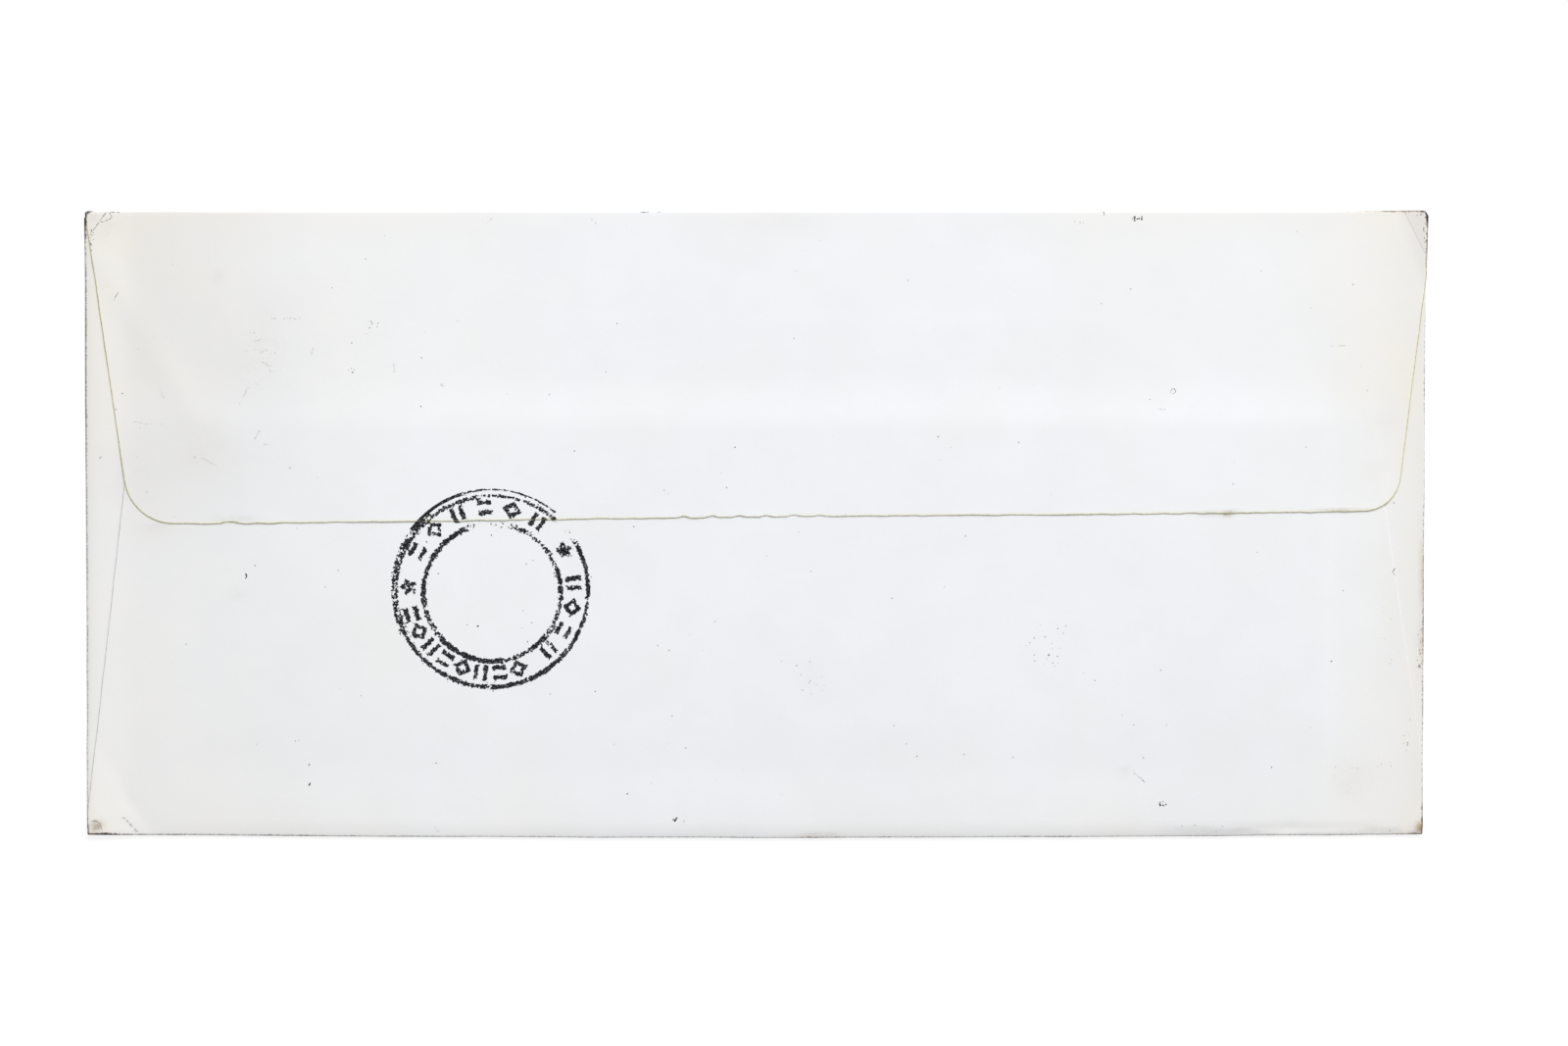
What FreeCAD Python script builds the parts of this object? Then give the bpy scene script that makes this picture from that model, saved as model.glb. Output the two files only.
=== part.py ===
"""A sealed commercial envelope, lying on its front, folded from one sheet of paper.

Millimetres. The origin is at the middle of the envelope's underside, +X runs along its long
side, +Y points to the top fold, from which the seal flap comes down, and +Z is up.

The sheet is one piece: a front panel, a side flap folded in from each end, a back panel
folded up over the side flaps, and a seal flap folded down over the back panel and gummed to
it. The back bulges a little: the layers over the front panel rise from their folds to a low,
flat-topped crown.
"""

import FreeCAD
import Part

import os
import sys

import Sketcher

# Each size is a name, a value and what it measures, in millimetres or degrees.
SIZES = (
    ("width", 230.0, "long side, over the side folds"),
    ("height", 107.3, "short side, over the top and bottom folds"),
    ("paper", 0.12, "thickness of the sheet"),
    ("pocket_gap", 0.3, "room in the pocket beside its folds"),
    ("crown_height", 0.8, "how far the middle of the back stands above its edges"),
    ("crown_margin", 16.0, "width of the slope round the crown"),
    ("side_flap_width", 14.0, "side flap, from the side of the envelope to its cut edge"),
    ("side_flap_setback", 1.0, "from the top or bottom fold to the end of a side flap"),
    ("side_flap_taper", 35.0, "slant of a side flap's two ends"),
    ("back_panel_depth", 71.3, "back panel, from the bottom of the envelope to its cut edge"),
    ("back_panel_inset", 9.3, "from the side of the envelope to the end of that cut edge"),
    ("back_panel_taper", 7.9, "slant of the back panel's two sides"),
    ("back_panel_shift", -0.5, "how far right of the middle the back panel's cut edge lies"),
    ("back_panel_skew", -1.0, "how far the back panel's outline is turned anticlockwise"),
    ("seal_flap_depth", 52.5, "seal flap, from the top of the envelope to its cut edge"),
    ("seal_flap_inset", 6.5, "from the side of the envelope to that edge's unrounded end"),
    ("seal_flap_taper", 7.8, "slant of the seal flap's two sides"),
    ("seal_flap_shift", 1.5, "how far right of the middle the seal flap's cut edge lies"),
    ("seal_flap_skew", 0.6, "how far the seal flap's outline is turned anticlockwise"),
    ("seal_flap_left_corner", 8.6, "radius of the seal flap's left corner"),
    ("seal_flap_right_corner", 6.4, "radius of the seal flap's right corner"),
)

# Upper faces of the layers beside the folds, each a sheet thicker than the one below.
POCKET_TOP = "(sizes.paper + sizes.pocket_gap)"
SIDE_FLAP_TOP = f"({POCKET_TOP} + sizes.paper)"
BACK_PANEL_TOP = f"({SIDE_FLAP_TOP} + sizes.paper)"
SEAL_FLAP_TOP = f"({BACK_PANEL_TOP} + sizes.paper)"

# A fold is half a tube, as high as the layer that it carries.
SIDE_FOLD = f"({SIDE_FLAP_TOP} / 2)"
BOTTOM_FOLD = f"({BACK_PANEL_TOP} / 2)"
TOP_FOLD = f"({SEAL_FLAP_TOP} / 2)"

# The flat front panel fills the rectangle between the four folds.
PANEL_RIGHT = f"(sizes.width / 2 - {SIDE_FOLD})"
PANEL_LEFT = f"(-{PANEL_RIGHT})"
PANEL_BOTTOM = f"({BOTTOM_FOLD} - sizes.height / 2)"
PANEL_TOP = f"(sizes.height / 2 - {TOP_FOLD})"
PANEL_WIDTH = f"(2 * {PANEL_RIGHT})"
PANEL_HEIGHT = f"({PANEL_TOP} - {PANEL_BOTTOM})"

# A side flap is a trapezium: its root is as long as its fold, and its tip is its cut edge.
SIDE_FLAP_START = f"({PANEL_BOTTOM} + sizes.side_flap_setback)"
SIDE_FLAP_ROOT = f"({PANEL_HEIGHT} - 2 * sizes.side_flap_setback)"
SIDE_FLAP_DEPTH = f"(sizes.side_flap_width - {SIDE_FOLD})"
SIDE_FLAP_TIP = f"({SIDE_FLAP_ROOT} - 2 * {SIDE_FLAP_DEPTH} * tan(sizes.side_flap_taper))"

# An outline is padded right through the layers that it trims.
OUTLINE_HEIGHT = f"(2 * ({SEAL_FLAP_TOP} + sizes.crown_height))"

RIGHTWARD = FreeCAD.Vector(1, 0, 0)
TOPWARD = FreeCAD.Vector(0, 1, 0)
QUARTER_TURN = 90
HALF_TURN = 180
NEAR = 1e-6

# How a sketch names the ends of a line and its own axes.
START, END = range(1, 3)
X_AXIS, Y_AXIS = range(-1, -3, -1)


def make_sizes(doc):
    """Puts the driving sizes in a spreadsheet, one row each."""
    sheet = doc.addObject("Spreadsheet::Sheet", "sizes")
    for row, (name, value, meaning) in enumerate(SIZES, 1):
        sheet.set(f"A{row}", name)
        sheet.set(f"B{row}", str(value))
        sheet.set(f"C{row}", meaning)
        sheet.setAlias(f"B{row}", name)
    doc.recompute()


def bind(item, **expressions):
    """Ties properties of an object to the sizes. An underscore in a name stands for a dot."""
    for name, expression in expressions.items():
        item.setExpression(name.replace("_", "."), expression)
    return item


def cut(doc, name, base, tool):
    """A solid with another taken out of it."""
    made = doc.addObject("Part::Cut", name)
    made.Base = base
    made.Tool = tool
    return made


def trim(doc, name, layer, outline):
    """The part of a layer that lies within an outline."""
    made = doc.addObject("Part::Common", name)
    made.Base = layer
    made.Tool = outline
    return made


def fuse(doc, name, solids):
    """Several solids as one, with no seams between faces that lie flush."""
    made = doc.addObject("Part::MultiFuse", name)
    made.Shapes = solids
    made.Refine = True
    return made


def mirror(doc, name, solid):
    """The right-hand twin of a solid on the left."""
    made = doc.addObject("Part::Mirroring", name)
    made.Source = solid
    made.Normal = RIGHTWARD
    return made


def make_block(doc, name, height):
    """A block on the front panel's rectangle."""
    block = doc.addObject("Part::Box", name)
    return bind(
        block,
        Length=PANEL_WIDTH,
        Width=PANEL_HEIGHT,
        Height=height,
        Placement_Base_x=PANEL_LEFT,
        Placement_Base_y=PANEL_BOTTOM,
    )


def make_half_rod(doc, name, turn, radius, axis_height, length, x, y):
    """Half a round rod along a fold."""
    rod = doc.addObject("Part::Cylinder", name)
    rod.Angle = HALF_TURN
    rod.Placement = FreeCAD.Placement(FreeCAD.Vector(), turn)
    return bind(
        rod,
        Radius=radius,
        Height=length,
        Placement_Base_x=x,
        Placement_Base_y=y,
        Placement_Base_z=axis_height,
    )


def make_fold(doc, name, outward, along, radius, length, x, y):
    """The sheet bent half a turn round an edge of the front panel, starting at x and y."""
    turn = FreeCAD.Rotation(outward.cross(along), outward, along, "XYZ")
    outer = make_half_rod(doc, f"{name}_outside", turn, radius, radius, length, x, y)
    inner = make_half_rod(doc, f"{name}_inside", turn, f"{radius} - sizes.paper", radius, length, x, y)
    return cut(doc, name, outer, inner)


def make_mound(doc, name, level):
    """All that lies under one level: a block as high as the folds, and a crown on it."""
    block = make_block(doc, f"{name}_block", level)
    crown = doc.addObject("Part::Wedge", f"{name}_crown")
    crown.Placement = FreeCAD.Placement(
        FreeCAD.Vector(), FreeCAD.Rotation(RIGHTWARD, QUARTER_TURN)
    )
    bind(
        crown,
        Xmin=PANEL_LEFT,
        Xmax=PANEL_RIGHT,
        X2min=f"{PANEL_LEFT} + sizes.crown_margin",
        X2max=f"{PANEL_RIGHT} - sizes.crown_margin",
        Ymax="sizes.crown_height",
        Zmin=f"-{PANEL_TOP}",
        Zmax=f"-{PANEL_BOTTOM}",
        Z2min=f"-{PANEL_TOP} + sizes.crown_margin",
        Z2max=f"-{PANEL_BOTTOM} - sizes.crown_margin",
        Placement_Base_z=level,
    )
    return fuse(doc, name, [block, crown])


def make_layers(doc):
    """The three sheets, not yet trimmed, that lie over the pocket, from the lowest up."""
    levels = (POCKET_TOP, SIDE_FLAP_TOP, BACK_PANEL_TOP, SEAL_FLAP_TOP)
    mounds = [make_mound(doc, f"mound_{number}", level) for number, level in enumerate(levels)]
    return [
        cut(doc, f"layer_{number}", mounds[number], mounds[number - 1])
        for number in range(1, len(mounds))
    ]


def set_size(sketch, expression, *constraint):
    """Adds a measured constraint to a sketch and ties it to the sizes."""
    index = sketch.addConstraint(Sketcher.Constraint(*constraint))
    sketch.setExpression(f"Constraints[{index}]", expression)


def make_outline(doc, name, tip, depth, taper):
    """A body with a trapezium padded in it: its tip on the X axis, its wider root above."""
    body = doc.addObject("PartDesign::Body", name)
    sketch = body.newObject("Sketcher::SketchObject", f"{name}_sketch")
    planes = {plane.Role: plane for plane in body.Origin.OriginFeatures}
    sketch.AttachmentSupport = (planes["XY_Plane"], [""])
    sketch.MapMode = "FlatFace"
    rough_tip, rough_root, rough_depth, rough_slope = 180, 220, 80, 1.3
    corners = [
        FreeCAD.Vector(-rough_tip / 2, 0, 0),
        FreeCAD.Vector(rough_tip / 2, 0, 0),
        FreeCAD.Vector(rough_root / 2, rough_depth, 0),
        FreeCAD.Vector(-rough_root / 2, rough_depth, 0),
    ]
    tip_line, right_line, root_line, left_line = range(len(corners))
    ring = (left_line, tip_line, right_line, root_line, left_line)
    for corner, next_corner in zip(corners, corners[1:] + corners[:1]):
        sketch.addGeometry(Part.LineSegment(corner, next_corner), False)
    for line, next_line in zip(ring, ring[1:]):
        sketch.addConstraint(Sketcher.Constraint("Coincident", line, END, next_line, START))
    for line in (tip_line, root_line):
        sketch.addConstraint(Sketcher.Constraint("Symmetric", line, START, line, END, Y_AXIS))
    sketch.addConstraint(Sketcher.Constraint("PointOnObject", tip_line, START, X_AXIS))
    set_size(sketch, tip, "DistanceX", tip_line, START, tip_line, END, rough_tip)
    set_size(sketch, depth, "DistanceY", right_line, START, right_line, END, rough_depth)
    set_size(sketch, f"90 - {taper}", "Angle", right_line, rough_slope)
    pad = body.newObject("PartDesign::Pad", f"{name}_pad")
    pad.Profile = sketch
    bind(pad, Length=OUTLINE_HEIGHT)
    body.Tip = pad
    return body


def place_outline(body, x, y, turn):
    """Puts the middle of an outline's tip at x and y and turns it anticlockwise."""
    return bind(
        body,
        Placement_Base_x=x,
        Placement_Base_y=y,
        Placement_Rotation_Angle=turn,
    )


def round_tip_corner(doc, body, side, radius):
    """Rounds the corner at one end of an outline's tip: side is -1 at the left, 1 at the right."""
    doc.recompute()
    padded = body.Tip
    corners = {
        side * edge.CenterOfMass.x: f"Edge{number}"
        for number, edge in enumerate(padded.Shape.Edges, 1)
        if abs(edge.tangentAt(edge.FirstParameter).z) > 1 - NEAR and abs(edge.CenterOfMass.y) < NEAR
    }
    fillet = body.newObject("PartDesign::Fillet", f"{padded.Name}_rounded")
    fillet.Base = (padded, [corners[max(corners)]])
    bind(fillet, Radius=radius)
    body.Tip = fillet


def make_side(doc, layer):
    """The left fold and side flap."""
    fold = make_fold(
        doc, "left_fold", -RIGHTWARD, TOPWARD, SIDE_FOLD, SIDE_FLAP_ROOT, PANEL_LEFT, SIDE_FLAP_START
    )
    outline = make_outline(
        doc, "side_flap_outline", SIDE_FLAP_TIP, SIDE_FLAP_DEPTH, "sizes.side_flap_taper"
    )
    middle = f"({PANEL_TOP} + {PANEL_BOTTOM}) / 2"
    place_outline(outline, f"{PANEL_LEFT} + {SIDE_FLAP_DEPTH}", middle, str(QUARTER_TURN))
    return [fold, trim(doc, "left_side_flap", layer, outline)]


def make_back(doc, layer):
    """The bottom fold and back panel, whose root is trimmed to the width of the fold."""
    fold = make_fold(
        doc, "bottom_fold", -TOPWARD, RIGHTWARD, BOTTOM_FOLD, PANEL_WIDTH, PANEL_LEFT, PANEL_BOTTOM
    )
    outline = make_outline(
        doc,
        "back_panel_outline",
        "sizes.width - 2 * sizes.back_panel_inset",
        "2 * sizes.back_panel_depth",
        "sizes.back_panel_taper",
    )
    place_outline(
        outline,
        "sizes.back_panel_shift",
        "sizes.back_panel_depth - sizes.height / 2",
        f"{HALF_TURN} + sizes.back_panel_skew",
    )
    return [fold, trim(doc, "back_panel", layer, outline)]


def make_seal(doc, layer):
    """The top fold and seal flap."""
    fold = make_fold(
        doc, "top_fold", TOPWARD, RIGHTWARD, TOP_FOLD, PANEL_WIDTH, PANEL_LEFT, PANEL_TOP
    )
    outline = make_outline(
        doc,
        "seal_flap_outline",
        "sizes.width - 2 * sizes.seal_flap_inset",
        "2 * sizes.seal_flap_depth",
        "sizes.seal_flap_taper",
    )
    round_tip_corner(doc, outline, -1, "sizes.seal_flap_left_corner")
    round_tip_corner(doc, outline, 1, "sizes.seal_flap_right_corner")
    place_outline(
        outline,
        "sizes.seal_flap_shift",
        "sizes.height / 2 - sizes.seal_flap_depth",
        "sizes.seal_flap_skew",
    )
    return [fold, trim(doc, "seal_flap", layer, outline)]


def make_envelope(doc):
    """The whole folded sheet, as one solid."""
    side_layer, back_layer, seal_layer = make_layers(doc)
    front = make_block(doc, "front_panel", "sizes.paper")
    left_side = make_side(doc, side_layer)
    right_side = [mirror(doc, solid.Name.replace("left", "right"), solid) for solid in left_side]
    back = make_back(doc, back_layer)
    seal = make_seal(doc, seal_layer)
    envelope = fuse(doc, "envelope", [front] + left_side + right_side + back + seal)
    doc.recompute()
    return envelope


def check(doc, solid):
    """Stops if any object failed, or if the finished part isn't one valid solid."""
    failed = [item.Name for item in doc.Objects if {"Invalid", "Error"} & set(item.State)]
    if failed:
        sys.exit(f"failed: {', '.join(failed)}")
    shape = solid.Shape
    if shape.isNull() or not shape.isValid() or len(shape.Solids) != 1:
        sys.exit(f"{solid.Label} isn't one valid solid")


def main():
    doc = FreeCAD.newDocument("envelope")
    make_sizes(doc)
    envelope = make_envelope(doc)
    check(doc, envelope)
    os.makedirs("parts", exist_ok=True)
    envelope.Shape.exportStep(f"parts/{envelope.Label}.step")
    box = envelope.Shape.BoundBox
    print(f"{box.XLength:.2f} x {box.YLength:.2f} x {box.ZLength:.2f} mm")
    print(f"{envelope.Shape.Volume:.0f} cubic mm")


main()
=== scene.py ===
"""The looks of a used commercial envelope, sealed, postmarked and lying on its front.

The folded sheet is one mesh of real paper thickness, laid where the frame's envelope lies. Its
seal flap has a ragged, yellowed edge, its folds and corners are worn and soiled, and its back
is slightly cockled. Shade is also painted into the paper's colour: along its folds, over its left
end, along its top fold and right end, beside the left seam, on the bent upper right corner and
above the lower fold. The postmark, a few stray marks and one painted crease shade line are thin
films of ink on the paper.
Lengths here are in millimetres until a mesh is made. Colours are written as they look.
"""

import math

import bpy
import numpy as np
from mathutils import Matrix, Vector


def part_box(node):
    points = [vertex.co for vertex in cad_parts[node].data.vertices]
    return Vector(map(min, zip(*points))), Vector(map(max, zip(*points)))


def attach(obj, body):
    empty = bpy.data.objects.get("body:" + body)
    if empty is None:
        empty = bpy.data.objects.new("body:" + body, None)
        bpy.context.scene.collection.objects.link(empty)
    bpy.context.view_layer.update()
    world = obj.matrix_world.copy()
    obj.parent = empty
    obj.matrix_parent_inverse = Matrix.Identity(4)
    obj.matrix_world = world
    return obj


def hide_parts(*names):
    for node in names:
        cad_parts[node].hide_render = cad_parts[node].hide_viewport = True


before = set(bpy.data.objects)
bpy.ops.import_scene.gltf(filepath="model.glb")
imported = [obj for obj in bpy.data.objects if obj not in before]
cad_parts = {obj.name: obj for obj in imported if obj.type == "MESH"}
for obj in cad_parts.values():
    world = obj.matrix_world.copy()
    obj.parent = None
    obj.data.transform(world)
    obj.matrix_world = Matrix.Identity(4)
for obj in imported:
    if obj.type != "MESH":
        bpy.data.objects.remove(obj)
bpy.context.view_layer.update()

MM = 0.001
UPPER_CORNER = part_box("envelope")[1]
RIGHT = UPPER_CORNER[0] / MM
TOP = UPPER_CORNER[1] / MM

# The sheet: its thickness, the radii of its worn corners, how finely its mesh is divided, where
# the outer points of a row lie as shares of it, and from which angle on an edge is shaded sharp.
PAPER = 0.12
LEFT_CORNERS = 1.3
RIGHT_CORNERS = 0.7
COLUMNS = 290
FRONT_ROWS = 24
FOLD_STEPS = 6
EDGE_SHARES = (0, 0.0009, 0.0026, 0.0052, 0.0085, 0.0122, 0.016, 0.02)
SHARP_FOLD = math.radians(40)

# The side flaps: width, gap to the other folds, how much they narrow, and their columns.
SIDE_FLAP = 14.0
SIDE_FLAP_SETBACK = 0.8
SIDE_FLAP_TAPER = 0.7
SIDE_FLAP_STEPS = (0, 0.4, 1.0, 2.0, 3.5, 5, 6.5, 8, 9.5, 11, 12.5)

# The bulge of the back: room in the pocket, a low crown with a raised band, and a trough. A roll
# is how wide the quick rise beside a fold is, its share of the whole, and where the slow rise ends.
POCKET_GAP = 0.3
CROWN = 0.66
FOLD_ROLL = (3.0, 0.12, 60.0)
BOTTOM_ROLL = (2.7, 0.25, 40.0)
BAND_RISE = 0.36
TROUGH_DEPTH = 0.09
TROUGH_Y = -42.3
TROUGH_WIDTH = 4.6

# How far a layer takes to drape over an edge below it, and what share of a sheet it comes down.
SIDE_DRAPE = 7.0
BACK_DRAPE = 7.4
DRAPE_SHARE = 0.8

# Radii of the folds, to the middle of the paper.
SIDE_FOLD = (PAPER + POCKET_GAP) / 2
BOTTOM_FOLD = (2 * PAPER + POCKET_GAP) / 2
TOP_FOLD = (3 * PAPER + POCKET_GAP) / 2

# The seal flap: its corners before they were rounded, its slanted sides, where it stands out over
# the right side fold and ends at the left, its corners' radii, its rows, and how far its cut edge
# curls up.
FLAP_LEFT = (-106.95, 0.02)
FLAP_RIGHT = (110.05, 2.3)
FLAP_LEFT_SLANT = 0.149
FLAP_RIGHT_SLANT = 0.125
FLAP_OVERHANG = 0.42
FLARE_START = 40.0
FLAP_LEFT_END = -114.9
FLAP_LEFT_RADIUS = 8.6
FLAP_RIGHT_RADIUS = 6.4
FLAP_SIDE_ROWS = 34
FLAP_CORNER_ROWS = 13
CURL_REACH = 1.4

# The back panel: its hidden cut edge, its slanted seams, and the gap given to points far from any.
BACK_TOP = 17.6
SEAM_LEFT = (-108.1, 6.5)
SEAM_LEFT_SLANT = 0.1212
SEAM_RIGHT = (107.94, 2.8)
SEAM_RIGHT_SLANT = 0.158
NO_CUT_EDGE = 9.0

# Rows of the back panel: closer together beside its fold, then evenly spread.
BACK_ROWS_BY_FOLD = (0, 0.35, 0.75, 1.3, 1.9, 2.5, 3.1, 3.7, 4.4, 5.1, 5.9, 6.8, 7.8)
BACK_ROWS_START = 8.9
BACK_ROWS = 53

# The photograph: what its width takes in, where its centre lies, and the camera over it.
PHOTO_WIDTH = 269.1
PHOTO_CENTRE = (5.0, 0.17)
CAMERA_HEIGHT = 900.0
CAMERA_TILT = math.radians(1.75)
SENSOR = 36.0

# The lamp, the even light from all round and the table top, in metres and watts.
LAMP_PLACE = (0.60, 1.80, 1.43)
LAMP_SIZE = 1.45
LAMP_POWER = 48.5
SURROUND_STRENGTH = 0.5
FLOOR_REACH = 1.5
FLOOR_LEVEL = -0.00002
FLOOR_COLOUR = (0.8, 0.8, 0.8, 1)
FLOOR_ROUGHNESS = 0.9
FLOOR_SEEN_COLOUR = (0.3, 0.3, 0.3, 1)
FLOOR_GLOW = 0.78

# How many lumps the smooth noise holds each way before it repeats.
LATTICE = 512

# The flat blank as a map: how many millimetres the map spans, where the blank's outside and its
# inside lie on it, and how much smaller the inside is, which only the pocket sees.
MAP_REACH = 264.0
MAP_OUTSIDE = (0.5, 0.49)
MAP_INSIDE = (0.5, 0.95)
MAP_INSIDE_SCALE = 0.09

# The hidden front panel: how far inside its folds it starts, and its share of the yellowing.
FRONT_MARGIN = 0.5
FRONT_WARMTH = 0.3


def add_camera():
    """A long lens, looking almost straight down on the back of the envelope."""
    data = bpy.data.cameras.new("camera")
    data.sensor_width = SENSOR
    data.lens = SENSOR * CAMERA_HEIGHT / PHOTO_WIDTH
    camera = bpy.data.objects.new("camera", data)
    camera.location = (
        PHOTO_CENTRE[0] * MM,
        (PHOTO_CENTRE[1] + CAMERA_HEIGHT * math.sin(CAMERA_TILT)) * MM,
        CAMERA_HEIGHT * math.cos(CAMERA_TILT) * MM,
    )
    camera.rotation_euler = (-CAMERA_TILT, 0, 0)
    bpy.context.collection.objects.link(camera)
    bpy.context.scene.camera = camera


def ease(share):
    """0 to 1 with soft ends."""
    return share * share * (3 - 2 * share)


def ramp(value, start, end):
    """0 before start, 1 after end, and a soft step between."""
    return ease(np.clip((value - start) / (end - start), 0, 1))


def fading(gap, reach):
    """1 at an edge, fading with the distance from it."""
    return np.exp(-gap / reach)


def hump(gap, width):
    """1 on a line, soft on both sides of it."""
    return np.exp(-((gap / width) ** 2))


def lumps(x, y, size, seed):
    """Smooth noise between -1 and 1, with lumps about one size across."""
    lattice = np.random.default_rng(seed).uniform(-1, 1, (LATTICE, LATTICE))
    across = x / size + LATTICE / 2
    along = y / size + LATTICE / 2
    column = np.floor(across).astype(int)
    row = np.floor(along).astype(int)
    right_share = ease(across - column)
    upper_share = ease(along - row)
    left, right = column % LATTICE, (column + 1) % LATTICE
    lower, upper = row % LATTICE, (row + 1) % LATTICE
    below = lattice[lower, left] * (1 - right_share) + lattice[lower, right] * right_share
    above = lattice[upper, left] * (1 - right_share) + lattice[upper, right] * right_share
    return below * (1 - upper_share) + above * upper_share


def gap_to_segment(x, y, start, end):
    """How far points lie from a straight line between two points."""
    run_x, run_y = end[0] - start[0], end[1] - start[1]
    along = ((x - start[0]) * run_x + (y - start[1]) * run_y) / (run_x**2 + run_y**2)
    along = np.clip(along, 0, 1)
    return np.hypot(x - start[0] - along * run_x, y - start[1] - along * run_y)


def gap_to_chain(x, y, chain):
    """How far points lie from a chain of straight lines."""
    gap = np.full(np.shape(x), np.inf)
    for start, end in zip(chain[:-1], chain[1:]):
        gap = np.minimum(gap, gap_to_segment(x, y, start, end))
    return gap


# Creases: where each starts and ends, how far it stands up, or sinks if below 0, and its width.
CREASES = (
    ((-112.0, 45.0), (-96.0, 18.5), 0.13, 2.6),
    ((-108.2, -51.2), (-106.2, -53.4), -0.07, 0.5),
    ((-109.9, -42.0), (-107.6, -47.8), -0.045, 1.1),
    ((-107.6, -47.8), (-103.8, -52.2), -0.045, 1.1),
    ((-28.0, 34.6), (69.0, 34.2), 0.02, 1.2),
    ((82.0, -52.9), (92.0, -52.3), -0.10, 0.8),
    ((92.0, -52.3), (106.0, -52.8), -0.10, 0.8),
    ((-112.9, 50.0), (-109.8, 53.4), 0.05, 0.4),
    ((110.1, 53.6), (115.2, 39.4), -0.03, 0.5),
    ((-40.0, -18.0), (-8.0, -23.0), 0.03, 3.0),
)

# Bent corners: a point on the bend, the direction to the corner, the slope and its reach.
DOG_EARS = (
    ((112.4, 47.0), (0.94, 0.34), 0.10, 5.0),
    ((-107.3, -47.5), (-0.85, -0.525), 0.055, 9.0),
    ((-111.5, 50.5), (-0.80, 0.60), 0.040, 3.0),
    ((112.5, -51.0), (0.80, -0.60), 0.050, 3.0),
)

# The fold across the bent upper right corner, where shade is painted.
BENT_CORNER = ((114.7, 46.4), (111.4, 53.0))


def corner_rise(x, y):
    """How far bent corners lift the whole envelope."""
    rise = np.zeros(np.shape(x))
    for (bend_x, bend_y), (way_x, way_y), slope, reach in DOG_EARS:
        beyond = np.clip((x - bend_x) * way_x + (y - bend_y) * way_y, 0, reach)
        rise += slope * beyond * ease(np.clip(beyond, 0, 1))
    return rise


def rise_from_fold(gap, roll, roll_share, end):
    """0 at a fold and 1 far from it: a quick roll beside the fold, then a slow rise."""
    quick = 1 - (1 - np.clip(gap / roll, 0, 1)) ** 2
    slow = 1 - (1 - np.clip(gap / end, 0, 1)) ** 2
    return roll_share * quick + (1 - roll_share) * slow


def raised_band(x, y):
    """1 below the hidden cut edge, easing to 0 above it and at the right, and less at the left."""
    above = np.clip((y - BACK_TOP) / BACK_DRAPE, 0, 1)
    return (1 - above) ** 1.35 * (0.35 + 0.65 * ramp(x, -75, -30)) * (1 - ramp(x, 96.5, 100.5))


def bulge(x, y):
    """How far the back stands above the pocket's folds: a low crown with cockles and creases."""
    crown = rise_from_fold(RIGHT - np.abs(x), *FOLD_ROLL)
    crown *= rise_from_fold(TOP - y, *FOLD_ROLL) * rise_from_fold(TOP + y, *BOTTOM_ROLL)
    trough = TROUGH_DEPTH * hump(y - TROUGH_Y, TROUGH_WIDTH) * ramp(RIGHT - np.abs(x), 4, 30)
    cockle = 0.10 * lumps(x, y, 41, 1) + 0.035 * lumps(x, y, 15, 2) + 0.007 * lumps(x, y, 5, 3)
    height = CROWN * crown - trough
    height = height + (cockle + BAND_RISE * raised_band(x, y)) * np.sqrt(crown)
    for start, end, rise, width in CREASES:
        height = height + rise * hump(gap_to_segment(x, y, start, end), width)
    return height


def over_side_flap(x):
    """1 over a side flap and 0 over the pocket between them."""
    return ramp(np.abs(x), RIGHT - SIDE_FLAP - SIDE_DRAPE, RIGHT - SIDE_FLAP)


def seams(y):
    """Where the back panel's slanted seams lie, at the left and at the right."""
    left = SEAM_LEFT[0] + SEAM_LEFT_SLANT * (y - SEAM_LEFT[1])
    right = SEAM_RIGHT[0] - SEAM_RIGHT_SLANT * (y - SEAM_RIGHT[1])
    return left, right


def over_back_panel(x, y):
    """1 over the back panel and 0 beyond its cut edge and its seams."""
    left, right = seams(y)
    below_cut = (1 - np.clip((y - BACK_TOP) / BACK_DRAPE, 0, 1)) ** 2
    return below_cut * ramp(x, left - 2, left) * ramp(-x, -right - 2, -right)


def front_height(x, y):
    """Middle of the front panel's paper, which touches the table here and there."""
    lift = 0.04 * (1 + lumps(x, y, 33, 5)) * ramp(TOP - np.abs(y), 0, 6)
    return PAPER / 2 + lift + corner_rise(x, y)


def side_height(x, y):
    """Middle of a side flap's paper."""
    return PAPER * 1.5 + POCKET_GAP + bulge(x, y) + corner_rise(x, y)


def back_height(x, y):
    """Middle of the back panel's paper, draped over the side flaps."""
    return side_height(x, y) + PAPER * (1 - DRAPE_SHARE * (1 - over_side_flap(x)))


def seal_height(x, y):
    """Middle of the seal flap's paper, draped over the back panel's cut edge."""
    return back_height(x, y) + PAPER * (1 - DRAPE_SHARE * (1 - over_back_panel(x, y)))


def flap_line(x):
    """The seal flap's cut edge as it was meant, before it was cut and torn ragged."""
    share = (x - FLAP_LEFT[0]) / (FLAP_RIGHT[0] - FLAP_LEFT[0])
    return FLAP_LEFT[1] + share * (FLAP_RIGHT[1] - FLAP_LEFT[1])


def flap_raggedness(x):
    """How far the cut edge strays into the flap: scallops by the middle, nicks and one tear."""
    phase = np.mod(x / 4.7 + 0.35, 1)
    scallop = ramp(phase, 0.55, 0.72) * (1 - ramp(phase, 0.86, 1.0))
    scallops = 0.34 * scallop * ramp(x, -16, -12) * (1 - ramp(x, 9, 13))
    nicks = 0.07 * lumps(x, 0 * x, 1.3, 21) + 0.05 * lumps(x, 0 * x, 3.1, 22)
    tear = 0.27 * ramp(x, -91.4, -90.8) * (1 - ramp(x, -88.9, -88.6))
    sag = 0.10 * np.cos(x / 30)
    return scallops + nicks + tear + sag


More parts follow.
